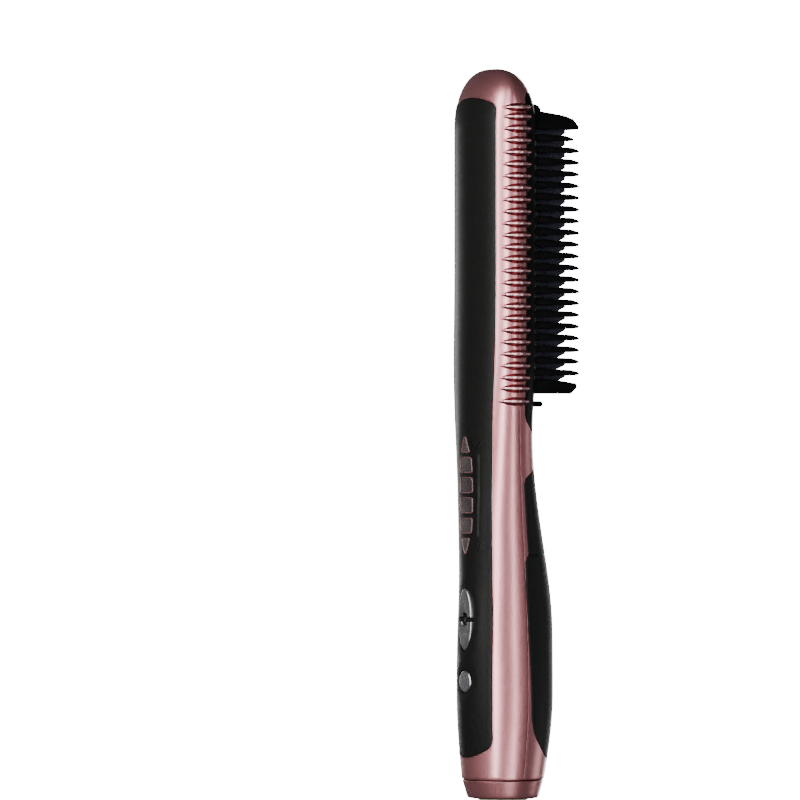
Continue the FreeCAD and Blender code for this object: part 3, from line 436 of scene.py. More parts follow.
def grained(name, dark, light, scale, rough, bump, **sockets):
    """Finish with a fine grain in its colour, its roughness and its surface."""
    material = bpy.data.materials.new(name)
    material.use_nodes = True
    nodes, links = material.node_tree.nodes, material.node_tree.links
    shader = nodes["Principled BSDF"]
    coords = nodes.new("ShaderNodeTexCoord")
    grain = nodes.new("ShaderNodeTexNoise")
    grain.inputs["Scale"].default_value = scale
    grain.inputs["Detail"].default_value = 3.0
    links.new(coords.outputs["Object"], grain.inputs["Vector"])
    tone = nodes.new("ShaderNodeValToRGB")
    tone.color_ramp.elements[0].position = 0.22
    tone.color_ramp.elements[1].position = 0.78
    tone.color_ramp.elements[0].color = (*dark, 1.0)
    tone.color_ramp.elements[1].color = (*light, 1.0)
    links.new(grain.outputs["Fac"], tone.inputs["Fac"])
    links.new(tone.outputs["Color"], shader.inputs["Base Color"])
    polish = nodes.new("ShaderNodeMapRange")
    polish.inputs["From Min"].default_value = 0.3
    polish.inputs["From Max"].default_value = 0.7
    polish.inputs["To Min"].default_value = rough[0]
    polish.inputs["To Max"].default_value = rough[1]
    links.new(grain.outputs["Fac"], polish.inputs["Value"])
    links.new(polish.outputs["Result"], shader.inputs["Roughness"])
    relief = nodes.new("ShaderNodeBump")
    relief.inputs["Strength"].default_value = bump
    relief.inputs["Distance"].default_value = 0.0002
    links.new(grain.outputs["Fac"], relief.inputs["Height"])
    links.new(relief.outputs["Normal"], shader.inputs["Normal"])
    for socket, value in sockets.items():
        shader.inputs[socket.replace("_", " ")].default_value = value
    return material


ROSE = grained("rose_paint", (0.50, 0.182, 0.200), (0.66, 0.270, 0.294), 3600, (0.27, 0.38), 0.09,
               Metallic=0.9, Coat_Weight=0.7, Coat_Roughness=0.22)
# Darker wine copy of the rose paint on the ribs' flanks and front points: painted shade
RIB_PAINTED_SHADE = grained("rib_rose_painted_shade", (0.20, 0.022, 0.030), (0.28, 0.036, 0.046), 3600, (0.22, 0.32), 0.06,
                   Metallic=0.9, Coat_Weight=1.0, Coat_Roughness=0.12)
# Lighter copy of the rose paint on the ribs' crests: painted highlight
RIB_PAINTED_HIGHLIGHT = grained("rib_rose_painted_highlight", (0.68, 0.35, 0.375), (0.78, 0.42, 0.445), 3600, (0.24, 0.34), 0.06,
                    Metallic=0.9, Coat_Weight=1.0, Coat_Roughness=0.16)
CHARCOAL = grained("soft_touch_charcoal", (0.0045, 0.0045, 0.0042), (0.0075, 0.0075, 0.0071), 2600,
                   (0.34, 0.44), 0.05, Specular_IOR_Level=0.12)
MARK = grained("embossed_charcoal", (0.0020, 0.0020, 0.0020), (0.0040, 0.0040, 0.0040), 1500,
               (0.30, 0.40), 0.03, Specular_IOR_Level=0.2)
GRIP = grained("grip_black", (0.0025, 0.0025, 0.0025), (0.0050, 0.0050, 0.0050), 2200, (0.44, 0.60), 0.08,
               Specular_IOR_Level=0.2)
GLOSS_BLACK = grained("gloss_black", (0.0020, 0.0020, 0.0024), (0.0036, 0.0036, 0.0042), 3200,
                      (0.22, 0.28), 0.01, Specular_IOR_Level=0.11)
NAVY = grained("heater_navy", (0.0440, 0.0470, 0.0720), (0.0560, 0.0600, 0.0920), 4200, (0.24, 0.32), 0.01,
               Metallic=0.3)
SILVER = grained("satin_silver", (0.53, 0.53, 0.54), (0.58, 0.58, 0.59), 5200, (0.27, 0.31), 0.02,
                 Metallic=1.0)
ENGRAVED = grained("engraved_grey", (0.10, 0.10, 0.11), (0.16, 0.16, 0.17), 2000, (0.45, 0.6), 0.05,
                   Metallic=0.3)
COLLAR = grained("collar_grey", (0.50, 0.50, 0.50), (0.60, 0.60, 0.59), 1500, (0.45, 0.6), 0.06)
SEAM_DOT = grained("seam_shadow", (0.020, 0.006, 0.006), (0.035, 0.010, 0.010), 1500, (0.5, 0.6), 0.02)


def dotted(name, dark, light, scale):
    """Dark lens with a raised dot in every cell."""
    material = grained(name, dark, light, scale, (0.25, 0.4), 0.0, Coat_Weight=0.3)
    nodes, links = material.node_tree.nodes, material.node_tree.links
    dots = nodes.new("ShaderNodeTexVoronoi")
    dots.inputs["Scale"].default_value = scale
    dots.inputs["Randomness"].default_value = 0.0
    links.new(nodes["Texture Coordinate"].outputs["Object"], dots.inputs["Vector"])
    links.new(dots.outputs["Distance"], nodes["Color Ramp"].inputs["Fac"])
    links.new(dots.outputs["Distance"], nodes["Bump"].inputs["Height"])
    nodes["Bump"].inputs["Strength"].default_value = 0.5
    nodes["Bump"].invert = True
    return material


LENS = dotted("dotted_lens", (0.060, 0.044, 0.046), (0.011, 0.008, 0.008), 1250)
LENS_RIM = grained("lens_rim", (0.11, 0.052, 0.052), (0.17, 0.085, 0.085), 1500, (0.2, 0.3), 0.03,
                   Coat_Weight=0.3)


# Rose shells

DOME_STEPS = 22
DOME_ROWS = [TOP - DOME_HEIGHT * (1 - math.sin(math.pi / 2 * index / DOME_STEPS))
             for index in range(1, DOME_STEPS + 1)]
# The shells' edges are rounded by up to this much, less and less near the top
EDGE_ROUND, EDGE_FADE = 0.3, (TOP - 6.0, TOP - 2.0)
# Each row's height, and how far the skin is drawn in there
SHELL_ROWS = ([(CAP_SEAM, EDGE_ROUND), (CAP_SEAM + 0.1, 0.08), (CAP_SEAM + 0.3, 0.0)]
              + [(z, 0.0) for z in even(CAP_SEAM + 1.5, TOP - DOME_HEIGHT, 150)]
              + [(z, 0.0) for z in DOME_ROWS] + [(TOP, 0.0)])


def rose_shell(name, node, point, side, cutters):
    """Half of the body from the seam round; side is -1 in front of the seam and 1 behind it."""
    columns = rounded_steps(-1.0, 1.0, 72, radius=0.25, half=26.0)

    def place(column, row, depth):
        z, inset = row
        fade = 1 - share_of(z, *EDGE_FADE)
        lower = max(z - TOP + DOME_HEIGHT, 0.0) * depth / DOME_HEIGHT
        spot = point(z - lower, column[0], depth + min(column[1] + inset, EDGE_ROUND) * fade)
        edge = section(z)[0] + side * SEAM_GAP / 2
        closed_top = row is SHELL_ROWS[-1]
        spot.y = edge if closed_top else max(spot.y, edge) if side > 0 else min(spot.y, edge)
        return spot

    bm = mapped_block(columns, SHELL_ROWS, place, SHELL_WALL, 0.0)
    shell = finish_piece(name, bm, ROSE)
    cut_piece(shell, cutters)
    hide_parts(node)


panel_cutter = region_cutter("panel_cutter", panel_region)
rear_cutters = [region_cutter("grip_cutter", grip_region), region_cutter("neck_cutter", neck_region),
                region_cutter("comb_cutter", comb_region)]
rose_shell("front_half_shell", "front_shell", front_point, -1, [panel_cutter])
rose_shell("rear_half_shell", "rear_shell", rear_point, 1, rear_cutters)
discard([panel_cutter] + rear_cutters)


# Side ribs: pointed in front, with hollow flanks and a rounded crest

def rib_reach(share):
    """How far a rib stands out, as a share, on its way from its front point to its rear end."""
    return math.sin(min(share / 0.72, 1.0) * math.pi / 2) - 0.2 * max(share - 0.8, 0.0) / 0.2


def rib_thick(share):
    """How thick a rib is on that way, as a share."""
    swell = 0.8 * math.sin(min(share / 0.5, 1.0) * math.pi / 2)
    return 0.2 + swell - 0.2 * (max(share - 0.6, 0.0) / 0.4) ** 2


def crest(way, round_off=0.6):
    """Height of a rib's flank, from 1 at the crest to 0 at the foot."""
    fall = (math.hypot(way, round_off) - round_off) / (math.hypot(1.0, round_off) - round_off)
    return max(1 - fall, 0.0) ** 1.1


def rib_halves(name, front):
    """The parts of all ribs that lie in front of the seam or behind it."""
    whole = bmesh.new()
    seam = section(HEAD_Z)[0]
    for index in range(RIB_COUNT):
        middle = RIB_LOW + (RIB_HIGH - RIB_LOW) * index / (RIB_COUNT - 1) + RIB_SHIFTS.get(index, 0.0)
        lean = RIB_LEAN * (1 - share_of(middle, RIB_LOW, RIB_HIGH))
        tip, heel = RIB_FRONT - lean, RIB_REAR - 0.6 * lean
        y_start, y_end = (tip, seam - SEAM_GAP / 2) if front else (seam + SEAM_GAP / 2, heel)
        for side in (-1, 1):
            def place(along, way):
                y = y_start + (y_end - y_start) * along
                share = (y - tip) / (heel - tip)
                height = middle + RIB_HALF * rib_thick(share) * way
                out = RIB_REACH * rib_reach(share) * crest(way) - RIB_ROOT * (abs(way) > 0.99)
                return Vector((side * (side_x(height, y) + out), y, height))
            rib = mapped_grid(even(0.0, 1.0, 10), even(-1.0, 1.0, 18), place)
            for face in rib.faces:
                share = (face.calc_center_median().y - tip) / (heel - tip)
                way = abs(face.calc_center_median().z - middle) / (RIB_HALF * rib_thick(share))
                # Crest faces get the painted highlight, all other faces the painted shade
                face.material_index = int(way < PAINTED_HIGHLIGHT_BAND and share > PAINTED_HIGHLIGHT_START)
            bmesh.ops.holes_fill(rib, edges=rib.edges, sides=0)
            bmesh.ops.recalc_face_normals(rib, faces=rib.faces)
            join_into(whole, rib)
    ribs = finish_piece(name, whole, RIB_PAINTED_SHADE)
    ribs.data.materials.append(RIB_PAINTED_HIGHLIGHT)


rib_halves("front_ribs", True)
rib_halves("rear_ribs", False)


# Charcoal panel with its dishes and openings

def dish(x, z):
    """How deep the panel dips round the keys and the windows."""
    ways = [((x / half) ** 2 + ((z - middle) / tall) ** 2, deep) for middle, half, tall, deep in DISHES]
    return sum(deep * (1 - way) ** 2 for way, deep in ways if way < 1)


def panel_y(x, z):
    return front_y(x, z) + dish(x, z)


def dished_panel(u, v, inset, grow=0.0):
    point = panel_region(u, v, inset, grow)
    point.y += dish(point.x, point.z)
    return point


def oval_block(name, part, grow):
    """Block in the shape of the upper (1) or lower (-1) half of the oval key."""
    bm = bmesh.new()
    bmesh.ops.create_circle(bm, cap_ends=True, segments=72, radius=1.0)
    bmesh.ops.scale(bm, vec=(ROCKER_WIDE + grow, ROCKER_TALL + grow, 1), verts=bm.verts)
    bmesh.ops.bisect_plane(bm, geom=bm.verts[:] + bm.edges[:] + bm.faces[:], clear_outer=True,
                           plane_co=(0, part * (KEY_SPLIT - grow), 0), plane_no=(0, -part, 0))
    bmesh.ops.rotate(bm, verts=bm.verts, matrix=Matrix.Rotation(math.pi / 2, 3, "X"))
    bmesh.ops.translate(bm, vec=(0, OPENING_FRONT, ROCKER_Z), verts=bm.verts)
    sweep(bm, bm.faces[:], (0, OPENING_REAR - OPENING_FRONT, 0))
    return finish_piece(name, bm)


def rod_block(name, radius, z):
    bm = bmesh.new()
    bmesh.ops.create_cone(bm, cap_ends=True, segments=64, radius1=radius, radius2=radius,
                          depth=OPENING_REAR - OPENING_FRONT)
    bmesh.ops.rotate(bm, verts=bm.verts, matrix=Matrix.Rotation(math.pi / 2, 3, "X"))
    bmesh.ops.translate(bm, vec=(0, (OPENING_FRONT + OPENING_REAR) / 2, z), verts=bm.verts)
    return finish_piece(name, bm)


panel_skin = region_skin(dished_panel, radius=0.4, half=15.5, tall=240.0, columns=48, rows=320)
panel = finish_piece("control_panel", panel_skin, CHARCOAL)
openings = [oval_block("plus_opening", 1, BUTTON_GAP), oval_block("minus_opening", -1, BUTTON_GAP),
            rod_block("power_opening", POWER_RADIUS + BUTTON_GAP, POWER_Z)]
cut_piece(panel, openings)
discard(openings)
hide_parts("front_panel")

# Rear grip pads
grip_skin = region_skin(grip_region, radius=0.4, half=26.0, tall=78.0, columns=56, rows=110)
grip = finish_piece("grip_pad", grip_skin, GRIP)
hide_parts("rear_grip_pad")
neck_skin = region_skin(neck_region, radius=0.4, half=24.0, tall=31.0, columns=56, rows=50)
neck = finish_piece("neck_panel", neck_skin, GRIP)
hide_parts("rear_neck_panel")


# Guard comb: frame, guard teeth, end guards and pegs

def bar(bm, outline, x_low, x_high, bevel):
    """Adds a bar along X with an outline of depth and height, its edges rounded."""
    part = bmesh.new()
    corners = [part.verts.new((x_low, y, z)) for y, z in outline]
    sweep(part, [part.faces.new(corners)], (x_high - x_low, 0, 0))
    round_edges(part, part.edges[:], bevel, 2)
    join_into(bm, part)


def block(bm, x_span, y_span, z_span, bevel):
    (y_low, y_high), (z_low, z_high) = y_span, z_span
    bar(bm, [(y_low, z_low), (y_high, z_low), (y_high, z_high), (y_low, z_high)], *x_span, bevel)


def guard_outline(z, tip):
    """Pointed tooth: straight below, a long slope above."""
    half = GUARD_HALF
    return [(ROOT_Y, z - half), (tip - 3.2, z - half), (tip - 0.6, z - 0.75 * half), (tip, z - 0.45 * half),
            (tip - 0.7, z + 0.05 * half), (tip - 3.6, z + 0.65 * half), (ROOT_Y + 5.0, z + half),
            (ROOT_Y, z + half)]


def guard_comb():
    skin = region_skin(comb_region, radius=0.5, half=24.0, tall=130.0, columns=72, rows=130, wall=FRAME_WALL)
    frame_skin = finish_piece("comb_frame", skin, GLOSS_BLACK)
    opening = bmesh.new()
    block(opening, (-WINDOW_HALF, WINDOW_HALF), (-2, 12), (LOW_GUARD[1], TOP_GUARD[0]), 0.3)
    cutter = finish_piece("window_cutter", opening)
    cut_piece(frame_skin, [cutter])
    discard([cutter])
    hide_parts("guard_comb")
    teeth = bmesh.new()
    for x in (-GUARD_ROW, GUARD_ROW):
        span = (x - GUARD_WIDTH / 2, x + GUARD_WIDTH / 2)
        for index in range(TOOTH_COUNT):
            bar(teeth, guard_outline(TOOTH_LOW + index * TOOTH_STEP, GUARD_TIP), *span, GUARD_BEVEL)
        bar(teeth, guard_outline(TOOTH_HIGH + TOOTH_STEP, SHORT_TIP), *span, GUARD_BEVEL)
    finish_piece("guard_teeth", teeth, GLOSS_BLACK)
    ends = bmesh.new()
    half = GUARD_ROW + GUARD_WIDTH / 2
    low, high = LOW_GUARD
    bar(ends, [(ROOT_Y, low), (END_GUARD_TIP - 2.4, low), (END_GUARD_TIP, low + 2.4),
               (END_GUARD_TIP - 0.2, high - 0.9), (END_GUARD_TIP - 9.0, high + 0.4), (ROOT_Y, high + 0.4)],
        -half, half, 0.35)
    low, high = TOP_GUARD
    slope = [(GUARD_TIP - 0.5 - back * (high - low), low + up * (high - low)) for back, up in TOP_GUARD_SLOPE]
    shoulder = [(y, high + above) for y, above in TOP_GUARD_SHOULDER]
    bar(ends, slope + shoulder + [(ROOT_Y, low)], -half, half, GUARD_BEVEL)
    finish_piece("end_guards", ends, GLOSS_BLACK)
    pegs = bmesh.new()
    for x in (-GUARD_ROW, GUARD_ROW):
        turn = Matrix.Translation((x, (ROOT_Y + PEG_TIP) / 2, PEG_Z)) @ Matrix.Rotation(-math.pi / 2, 4, "X")
        bmesh.ops.create_cone(pegs, cap_ends=True, segments=24, radius1=PEG_RADIUS, radius2=PEG_RADIUS,
                              depth=PEG_TIP - ROOT_Y, matrix=turn)
    tip_edges = [edge for edge in pegs.edges if all(vert.co.y > PEG_TIP - 0.1 for vert in edge.verts)]
    round_edges(pegs, tip_edges, PEG_ROUND, 5, clamp=False)
    finish_piece("comb_pegs", pegs, GLOSS_BLACK)


guard_comb()

# Heating plate with its rows of teeth
heater = bmesh.new()
block(heater, (-WINDOW_HALF + FIT_GAP, WINDOW_HALF - FIT_GAP), (PLATE_UNDER - 1.8, HEATER_RISE),
      (LOW_GUARD[1] + FIT_GAP, TOP_GUARD[0] - FIT_GAP), 0.2)
for middle in even(LOW_GUARD[1] + HEAT_END, TOP_GUARD[0] - HEAT_END, TOOTH_COUNT + 1):
    low, high = middle - HEAT_THICK / 2, middle + HEAT_THICK / 2
    outline = [(HEAT_ROOT, low), (HEAT_TIP - HEAT_SLANT, low), (HEAT_TIP, middle + 0.1), (HEAT_TIP, high),
               (HEAT_ROOT, high)]
    for row in HEAT_ROWS:
        bar(heater, outline, row - HEAT_WIDTH / 2, row + HEAT_WIDTH / 2, HEAT_BEVEL)
heater = finish_piece("heating_comb", heater, NAVY)
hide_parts("heater_plate")


# Keys

def key_piece(name, node, outline):
    """Key on its own body: an outline of x and z, set in from the node's face, with a rounded rim. Gives
    the depth of the key's face."""
    face_y = min(corner[1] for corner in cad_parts[node].bound_box) / MM + KEY_SINK
    bm = bmesh.new()
    front = bm.faces.new([bm.verts.new((x, face_y, z)) for x, z in outline])
    sweep(bm, [front], (0, KEY_DEPTH, 0))
    rim = [edge for edge in bm.edges if all(vert.co.y < face_y + 0.01 for vert in edge.verts)]
    round_edges(bm, rim, KEY_ROUND, 5)
    piece = finish_piece(name, bm, SILVER, node, 50.0)
    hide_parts(node)
    return face_y


def rocker_outline(part):
    """Half of the oval key, above (1) or below (-1) the middle, with a round notch for the hub."""
    start = math.asin(KEY_SPLIT / ROCKER_TALL)
    oval = [(ROCKER_WIDE * math.cos(angle), ROCKER_TALL * math.sin(angle))
            for angle in even(start, math.pi - start, 64)]
    start = math.asin(KEY_SPLIT / NOTCH_RADIUS)
    notch = [(NOTCH_RADIUS * math.cos(angle), NOTCH_RADIUS * math.sin(angle))
             for angle in even(math.pi - start, start, 24)]
    return [(x, ROCKER_Z + part * z) for x, z in oval + notch]


def sign_bar(bm, face_y, x_span, z_span):
    """Adds a bar that is let into a key's face and stands a hair proud of it."""
    block(bm, x_span, (face_y - SIGN_PROUD, face_y + SIGN_SINK), z_span, SIGN_BEVEL)


plus_face = key_piece("plus_key", "plus_button", rocker_outline(1))
minus_face = key_piece("minus_key", "minus_button", rocker_outline(-1))
power_face = key_piece("power_key", "power_button", [
    (POWER_RADIUS * math.cos(angle), POWER_Z + POWER_RADIUS * math.sin(angle))
    for angle in even(0.0, 2 * math.pi, 72)[:-1]])

PLUS_Z, MINUS_Z = ROCKER_Z + SIGN_OFFSET, ROCKER_Z - SIGN_OFFSET
plus_sign = bmesh.new()
sign_bar(plus_sign, plus_face, (-SIGN_HALF, SIGN_HALF), (PLUS_Z - PLUS_STROKE, PLUS_Z + PLUS_STROKE))
for low, high in ((PLUS_Z - SIGN_HALF, PLUS_Z - PLUS_STROKE), (PLUS_Z + PLUS_STROKE, PLUS_Z + SIGN_HALF)):
    sign_bar(plus_sign, plus_face, (-PLUS_STROKE, PLUS_STROKE), (low, high))
finish_piece("plus_sign", plus_sign, ENGRAVED, "plus_button")
minus_sign = bmesh.new()
sign_bar(minus_sign, minus_face, (-SIGN_HALF, SIGN_HALF), (MINUS_Z - MINUS_STROKE, MINUS_Z + MINUS_STROKE))
finish_piece("minus_sign", minus_sign, ENGRAVED, "minus_button")

power_sign = bmesh.new()
sign_bar(power_sign, power_face, (-POWER_STROKE, POWER_STROKE), (POWER_Z - 0.6, POWER_Z + 2.6))
arc_start = [power_sign.verts.new((ARC_X + across, power_face + deep, POWER_Z + ARC_Z + across))
             for across, deep in ((-ARC_STROKE, -SIGN_PROUD), (ARC_STROKE, -SIGN_PROUD),
                                  (ARC_STROKE, SIGN_SINK), (-ARC_STROKE, SIGN_SINK))]
bmesh.ops.spin(power_sign, geom=[power_sign.faces.new(arc_start)], cent=(0, 0, POWER_Z), axis=(0, 1, 0),
               angle=math.radians(ARC_TURN), steps=48, use_merge=False)
bmesh.ops.recalc_face_normals(power_sign, faces=power_sign.faces)
finish_piece("power_sign", power_sign, ENGRAVED, "power_button")


def lathe(profile, following, merge):
    """Skin turned round Z from a profile of radius and height; following picks each corner's next one."""
    bm = bmesh.new()
    corners = [bm.verts.new((radius, 0, height)) for radius, height in profile]
    edges = [bm.edges.new(pair) for pair in zip(corners, following(corners))]
    bmesh.ops.spin(bm, geom=corners + edges, cent=(0, 0, 0), axis=(0, 0, 1), angle=2 * math.pi, steps=96,
                   use_merge=True)
    bmesh.ops.remove_doubles(bm, verts=bm.verts, dist=merge)
    bmesh.ops.recalc_face_normals(bm, faces=bm.faces)
    return bm


def turned(name, profile, material, centre=(0, 0, 0), axis="Z"):
    """Closed ring or disc turned from a profile of radius and height."""
    bm = lathe(profile, lambda corners: corners[1:] + corners[:1], 0.001)
    if axis == "Y":
        bmesh.ops.rotate(bm, verts=bm.verts, matrix=Matrix.Rotation(math.pi / 2, 3, "X"))
    bmesh.ops.translate(bm, vec=centre, verts=bm.verts)
    return finish_piece(name, bm, material)


# Round hub between the two halves of the oval key
hub_y = panel_y(0.0, ROCKER_Z)
turned("key_hub", [(0.0, 0.1), (1.4, 0.05), (1.95, -0.12), (2.1, -0.5), (2.1, -3.2), (0.0, -3.2)], CHARCOAL,
       (0, hub_y, ROCKER_Z), "Y")

# Tail cap and cord collar
cap = turned("tail_ring_cap", [
    (7.65, 0.85), (12.0, 0.8), (12.7, 0.95), (13.15, 1.3), (13.4, 1.9), (13.85, 3.5), (14.45, 5.5),
    (14.95, 7.2), (15.0, 7.4), (14.92, 7.55), (14.7, 7.62), (12.6, 7.62), (10.8, 2.8), (7.65, 2.8)],
    ROSE)
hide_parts("tail_cap")
dot_y = -math.sqrt(CAP_RADIUS_AT_DOT ** 2 - DOT_X ** 2)
turned("cap_dot", [(0.0, 0.04), (0.3, 0.03), (0.36, -0.02), (0.36, -0.6), (0.0, -0.6)], SEAM_DOT,
       (DOT_X, dot_y, DOT_Z), "Y")
collar = turned("cord_collar", [
    (3.9, 0.0), (8.9, 0.0), (9.2, 0.25), (9.2, 0.78), (7.5, 0.78), (7.5, 2.75), (3.6, 2.75), (3.6, 0.3)],
    COLLAR)
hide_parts("cord_gland")


def bead(name, loops, radius, material):
    """Round beads that follow closed loops of points."""
    line = bpy.data.curves.new(name, "CURVE")
    line.dimensions = "3D"
    line.bevel_depth = radius
    line.bevel_resolution = 3
    for loop in loops:
        spline = line.splines.new("POLY")
        spline.points.add(len(loop) - 1)
        spline.use_cyclic_u = True
        for point, spot in zip(spline.points, loop):
            point.co = (*spot, 1.0)
    finish_piece(name, curve_mesh(name, line), material, sharp=80.0)


def curve_mesh(name, curve):
    """The mesh of a curve or of text, in a bmesh."""
    item = bpy.data.objects.new(name + "_curve", curve)
    bpy.context.scene.collection.objects.link(item)
    shape = evaluated_mesh(item)
    bpy.data.objects.remove(item)
    bm = bmesh.new()
    bm.from_mesh(shape)
    bpy.data.meshes.remove(shape)
    bmesh.ops.remove_doubles(bm, verts=bm.verts, dist=0.001)
    bmesh.ops.recalc_face_normals(bm, faces=bm.faces)
    return bm


# Indicator windows, numerals and the scale wedge

def lens_spot(index, u, v, height):
    """Point of a window: u and v run from -1 to 1 over its rounded outline."""
    low, high = LAMP_ENDS[index]
    middle = LAMP_ROW_Z + LAMP_STEP * ((len(LAMP_ENDS) - 1) / 2 - index)
    soften = 1 - 0.10 * abs(u) ** 6 * abs(v) ** 6
    x = u * (low + (high - low) * (v + 1) / 2) * soften
    z = middle + v * LAMP_TALL * soften
    return Vector((x, panel_y(x, z) - height, z))


def lens_place(index):
    def place(u, v):
        rim_way = 1 - max(abs(u), abs(v))
        return lens_spot(index, u, v, LENS_HEIGHT * min(rim_way / LENS_EDGE, 1.0) ** 0.5 - LENS_SINK)
    return place


lenses = bmesh.new()
LENS_STEPS = (-1.0, -0.97, -0.92, -0.86, -0.8, -0.6, -0.3, 0.0, 0.3, 0.6, 0.8, 0.86, 0.92, 0.97, 1.0)
for index in range(len(LAMP_ENDS)):
    lens = mapped_grid(LENS_STEPS, LENS_STEPS, lens_place(index))
    sink_border(lens, (0, LENS_DEEP, 0))
    join_into(lenses, lens)
windows = finish_piece("lamp_windows", lenses, LENS)
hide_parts("indicator_windows")
# A circle, widened and held to the square that a window's outline is drawn from
RIM_LOOP = [[math.copysign(min(abs(way) * 1.42, 1.0), way) for way in (math.cos(angle), math.sin(angle))]
            for angle in even(0.0, 2 * math.pi, 72)[:-1]]
bead("window_rims", [[lens_spot(index, RIM_AT * u, RIM_AT * v, RIM_HEIGHT) for u, v in RIM_LOOP]
                     for index in range(len(LAMP_ENDS))], RIM_RADIUS, LENS_RIM)


def numeral(name, words, x, z):
    """Raised figures that follow the panel's curve."""
    curve = bpy.data.curves.new(name, "FONT")
    curve.body = words
    curve.size = FIGURE_TALL / FIGURE_SHARE
    curve.extrude = FIGURE_DEEP
    curve.bevel_depth = FIGURE_BEVEL
    curve.resolution_u = 4
    bm = curve_mesh(name, curve)
    for vert in bm.verts:
        right, up, out = vert.co
        spot_x, spot_z = x + right, z + up
        vert.co = (spot_x, panel_y(spot_x, spot_z) - out + FIGURE_SINK, spot_z)
    bmesh.ops.recalc_face_normals(bm, faces=bm.faces)
    finish_piece(name, bm, MARK)


numeral("upper_figures", "200°", 3.2, 130.0)
numeral("lower_figures", "130°", 3.6, 92.6)


def wedge_place(column, row):
    """Point of the wedge: a column holds a share of its width and a height over the panel."""
    across, height = column
    left, right = (top + (foot - top) * (1 - row) for foot, top in zip(WEDGE_FOOT, WEDGE_TOP))
    x, z = left + (right - left) * across, WEDGE_LOW + (WEDGE_HIGH - WEDGE_LOW) * row
    return Vector((x, panel_y(x, z) - height, z))


wedge_columns = [(0.0, -0.1), (0.05, 0.22), (0.15, 0.26), (0.9, 0.1), (1.0, -0.1)]
wedge = mapped_grid(wedge_columns, even(0.0, 1.0, 30), wedge_place)
sink_border(wedge, (0, 0.4, 0))
finish_piece("scale_wedge", wedge, MARK)


# Thin rose line round the panel
border = ([(u, 0.0) for u in even(-1.0, 1.0, 60)] + [(1.0, v) for v in even(0.0, 1.0, 240)[1:]]
          + [(u, 1.0) for u in even(1.0, -1.0, 60)[1:]] + [(-1.0, v) for v in even(1.0, 0.0, 240)[1:-1]])
bead("panel_rim", [[panel_region(u, v, LINE_INSET, LINE_GROW) for u, v in border]], LINE_RADIUS, ROSE)


# Inner pieces keep their own shapes and get finishes with some grain
INNER = {
    "control_board": grained("board_green", (0.012, 0.10, 0.035), (0.02, 0.15, 0.05), 700, (0.35, 0.5), 0.05),
    "tact_switches": grained("switch_black", (0.012, 0.012, 0.012), (0.025, 0.025, 0.025), 900,
                             (0.4, 0.55), 0.05),
    "indicator_leds": grained("lamp_clear", (0.70, 0.70, 0.64), (0.85, 0.85, 0.80), 600, (0.15, 0.25), 0.03),
    "shell_screw": grained("screw_zinc", (0.42, 0.42, 0.43), (0.58, 0.58, 0.58), 1500, (0.3, 0.45), 0.05,
                           Metallic=1.0),
    "lower_ptc_heater": grained("ceramic", (0.66, 0.65, 0.62), (0.80, 0.79, 0.76), 900, (0.5, 0.65), 0.08),
    "insulation_sheet": grained("amber_film", (0.42, 0.22, 0.03), (0.58, 0.34, 0.07), 300, (0.2, 0.3), 0.03),
    "heater_clamp": grained("spring_steel", (0.42, 0.42, 0.43), (0.58, 0.58, 0.59), 1200, (0.3, 0.45), 0.05,
                            Metallic=1.0),
    "heat_shield": grained("mica_board", (0.48, 0.44, 0.34), (0.64, 0.60, 0.50), 400, (0.5, 0.7), 0.1),
    "thermistor": grained("coated_bead", (0.06, 0.03, 0.02), (0.11, 0.06, 0.05), 900, (0.25, 0.4), 0.05),
}
INNER["upper_ptc_heater"] = INNER["lower_ptc_heater"]
INNER["thermal_fuse"] = INNER["thermistor"]
for node, finish in INNER.items():
    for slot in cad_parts[node].material_slots:
        slot.material = finish


# Floor, light and camera

VIEW = math.radians(60)
TOWARDS = Vector((math.sin(VIEW), -math.cos(VIEW), 0))
RIGHT = Vector((math.cos(VIEW), math.sin(VIEW), 0))
MIDDLE = Vector((0, 0, 0.14784))
FLOOR_GLOW, SKY_SIDE, SKY_TOP = 18.0, 0.16, 0.03
FLOOR_RADIUS, BEND_RADIUS, WALL_TOP = 2400.0, 700.0, 4500.0
EYE_DISTANCE, EYE_LENS, EYE_SENSOR, AIM_LEFT = 2.4, 292.1, 36.0, 0.0380


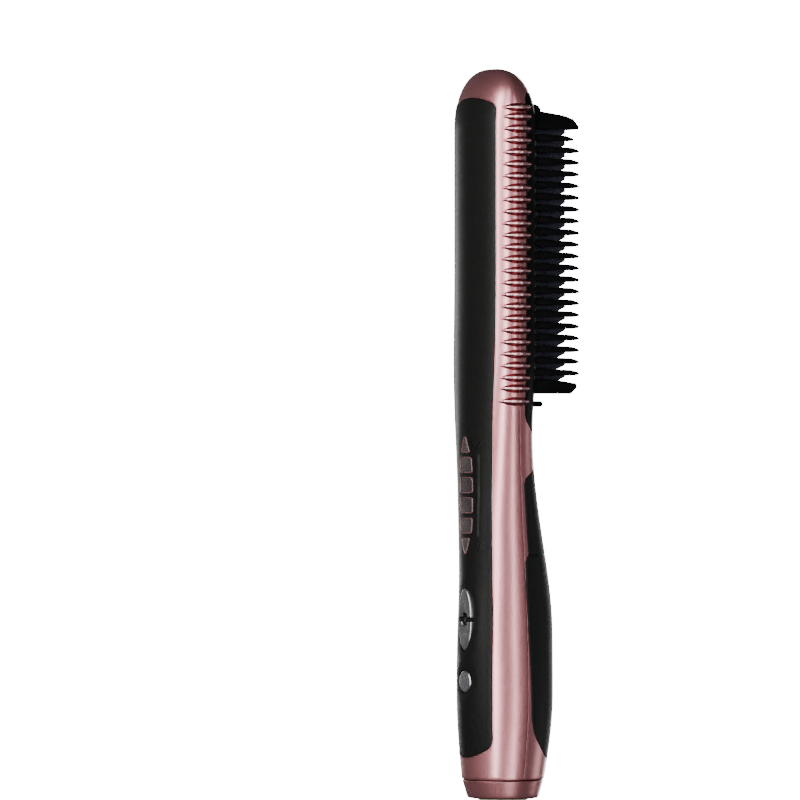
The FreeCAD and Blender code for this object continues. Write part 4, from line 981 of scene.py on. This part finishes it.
def studio():
    """Pale round floor that bends up into a wall, evenly lit, under a sky that is dark above and below."""
    outline = ([(FLOOR_RADIUS * way, 0.0) for way in even(0.0, 1.0, 6)]
               + [(FLOOR_RADIUS + BEND_RADIUS * math.sin(angle), BEND_RADIUS * (1 - math.cos(angle)))
                  for angle in even(0.0, math.pi / 2, 14)[1:]] + [(FLOOR_RADIUS + BEND_RADIUS, WALL_TOP)])
    bowl = lathe(outline, lambda corners: corners[1:], 0.01)
    bmesh.ops.reverse_faces(bowl, faces=bowl.faces)
    floor = finish_piece("floor", bowl, sharp=60.0)
    floor.data.materials.append(grained("pale_floor", (0.78, 0.78, 0.78), (0.82, 0.82, 0.82), 4, (0.7, 0.8),
                                        0.0, Emission_Color=(1.0, 1.0, 1.0, 1.0),
                                        Emission_Strength=FLOOR_GLOW))
    floor.visible_diffuse = False
    floor.visible_glossy = False
    floor.visible_shadow = False
    world = bpy.data.worlds.new("studio")
    bpy.context.scene.world = world
    world.use_nodes = True
    nodes, links = world.node_tree.nodes, world.node_tree.links
    coords = nodes.new("ShaderNodeTexCoord")
    parts = nodes.new("ShaderNodeSeparateXYZ")
    links.new(coords.outputs["Generated"], parts.inputs["Vector"])
    level = nodes.new("ShaderNodeMath")
    level.operation = "ABSOLUTE"
    links.new(parts.outputs["Z"], level.inputs[0])
    sky = nodes.new("ShaderNodeValToRGB")
    sky.color_ramp.elements[0].color = (SKY_SIDE, SKY_SIDE, SKY_SIDE, 1.0)
    sky.color_ramp.elements[1].color = (SKY_TOP, SKY_TOP, SKY_TOP, 1.0)
    sky.color_ramp.elements[1].position = 0.55
    links.new(level.outputs[0], sky.inputs["Fac"])
    links.new(sky.outputs["Color"], nodes["Background"].inputs["Color"])
    nodes["Background"].inputs["Strength"].default_value = 1.0


def softbox(name, place, wide, tall, power):
    """Flat light that looks at the middle of the comb."""
    light = bpy.data.lights.new(name, "AREA")
    light.shape = "RECTANGLE"
    light.size, light.size_y = wide, tall
    light.energy = power
    lamp = bpy.data.objects.new(name, light)
    bpy.context.scene.collection.objects.link(lamp)
    lamp.location = place
    lamp.rotation_mode = "QUATERNION"
    lamp.rotation_quaternion = (MIDDLE - place).to_track_quat("-Z", "Y")


def camera():
    lens = bpy.data.cameras.new("camera")
    lens.lens = EYE_LENS
    lens.sensor_width = EYE_SENSOR
    lens.clip_end = 50.0
    eye = bpy.data.objects.new("camera", lens)
    bpy.context.scene.collection.objects.link(eye)
    eye.location = MIDDLE + TOWARDS * EYE_DISTANCE
    aim = MIDDLE - RIGHT * AIM_LEFT
    eye.rotation_mode = "QUATERNION"
    eye.rotation_quaternion = (aim - eye.location).to_track_quat("-Z", "Y")
    bpy.context.scene.camera = eye


def around(degrees, distance, height):
    """Place round the comb, in degrees to the right of the camera."""
    angle = VIEW + math.radians(degrees)
    return Vector((math.sin(angle) * distance, -math.cos(angle) * distance, height))


studio()
softbox("left_strip", around(-54, 1.0, 0.5), 0.26, 0.8, 10.0)
softbox("front_fill", around(-21, 1.3, 0.2), 0.22, 1.3, 16.0)
softbox("right_strip", around(26, 1.1, 0.2), 0.10, 1.3, 5.0)
softbox("side_fill", around(105, 1.2, -0.2), 0.5, 0.5, 1.2)
softbox("low_fill", around(20, 1.0, -0.45), 0.5, 0.35, 1.8)
softbox("left_rim", around(-150, 1.0, 0.12), 0.2, 0.35, 1.2)
softbox("back_fill", around(157, 1.2, 0.25), 0.5, 1.0, 6.0)
softbox("top_fill", around(-20, 1.2, 1.2), 0.6, 0.4, 3.0)
camera()
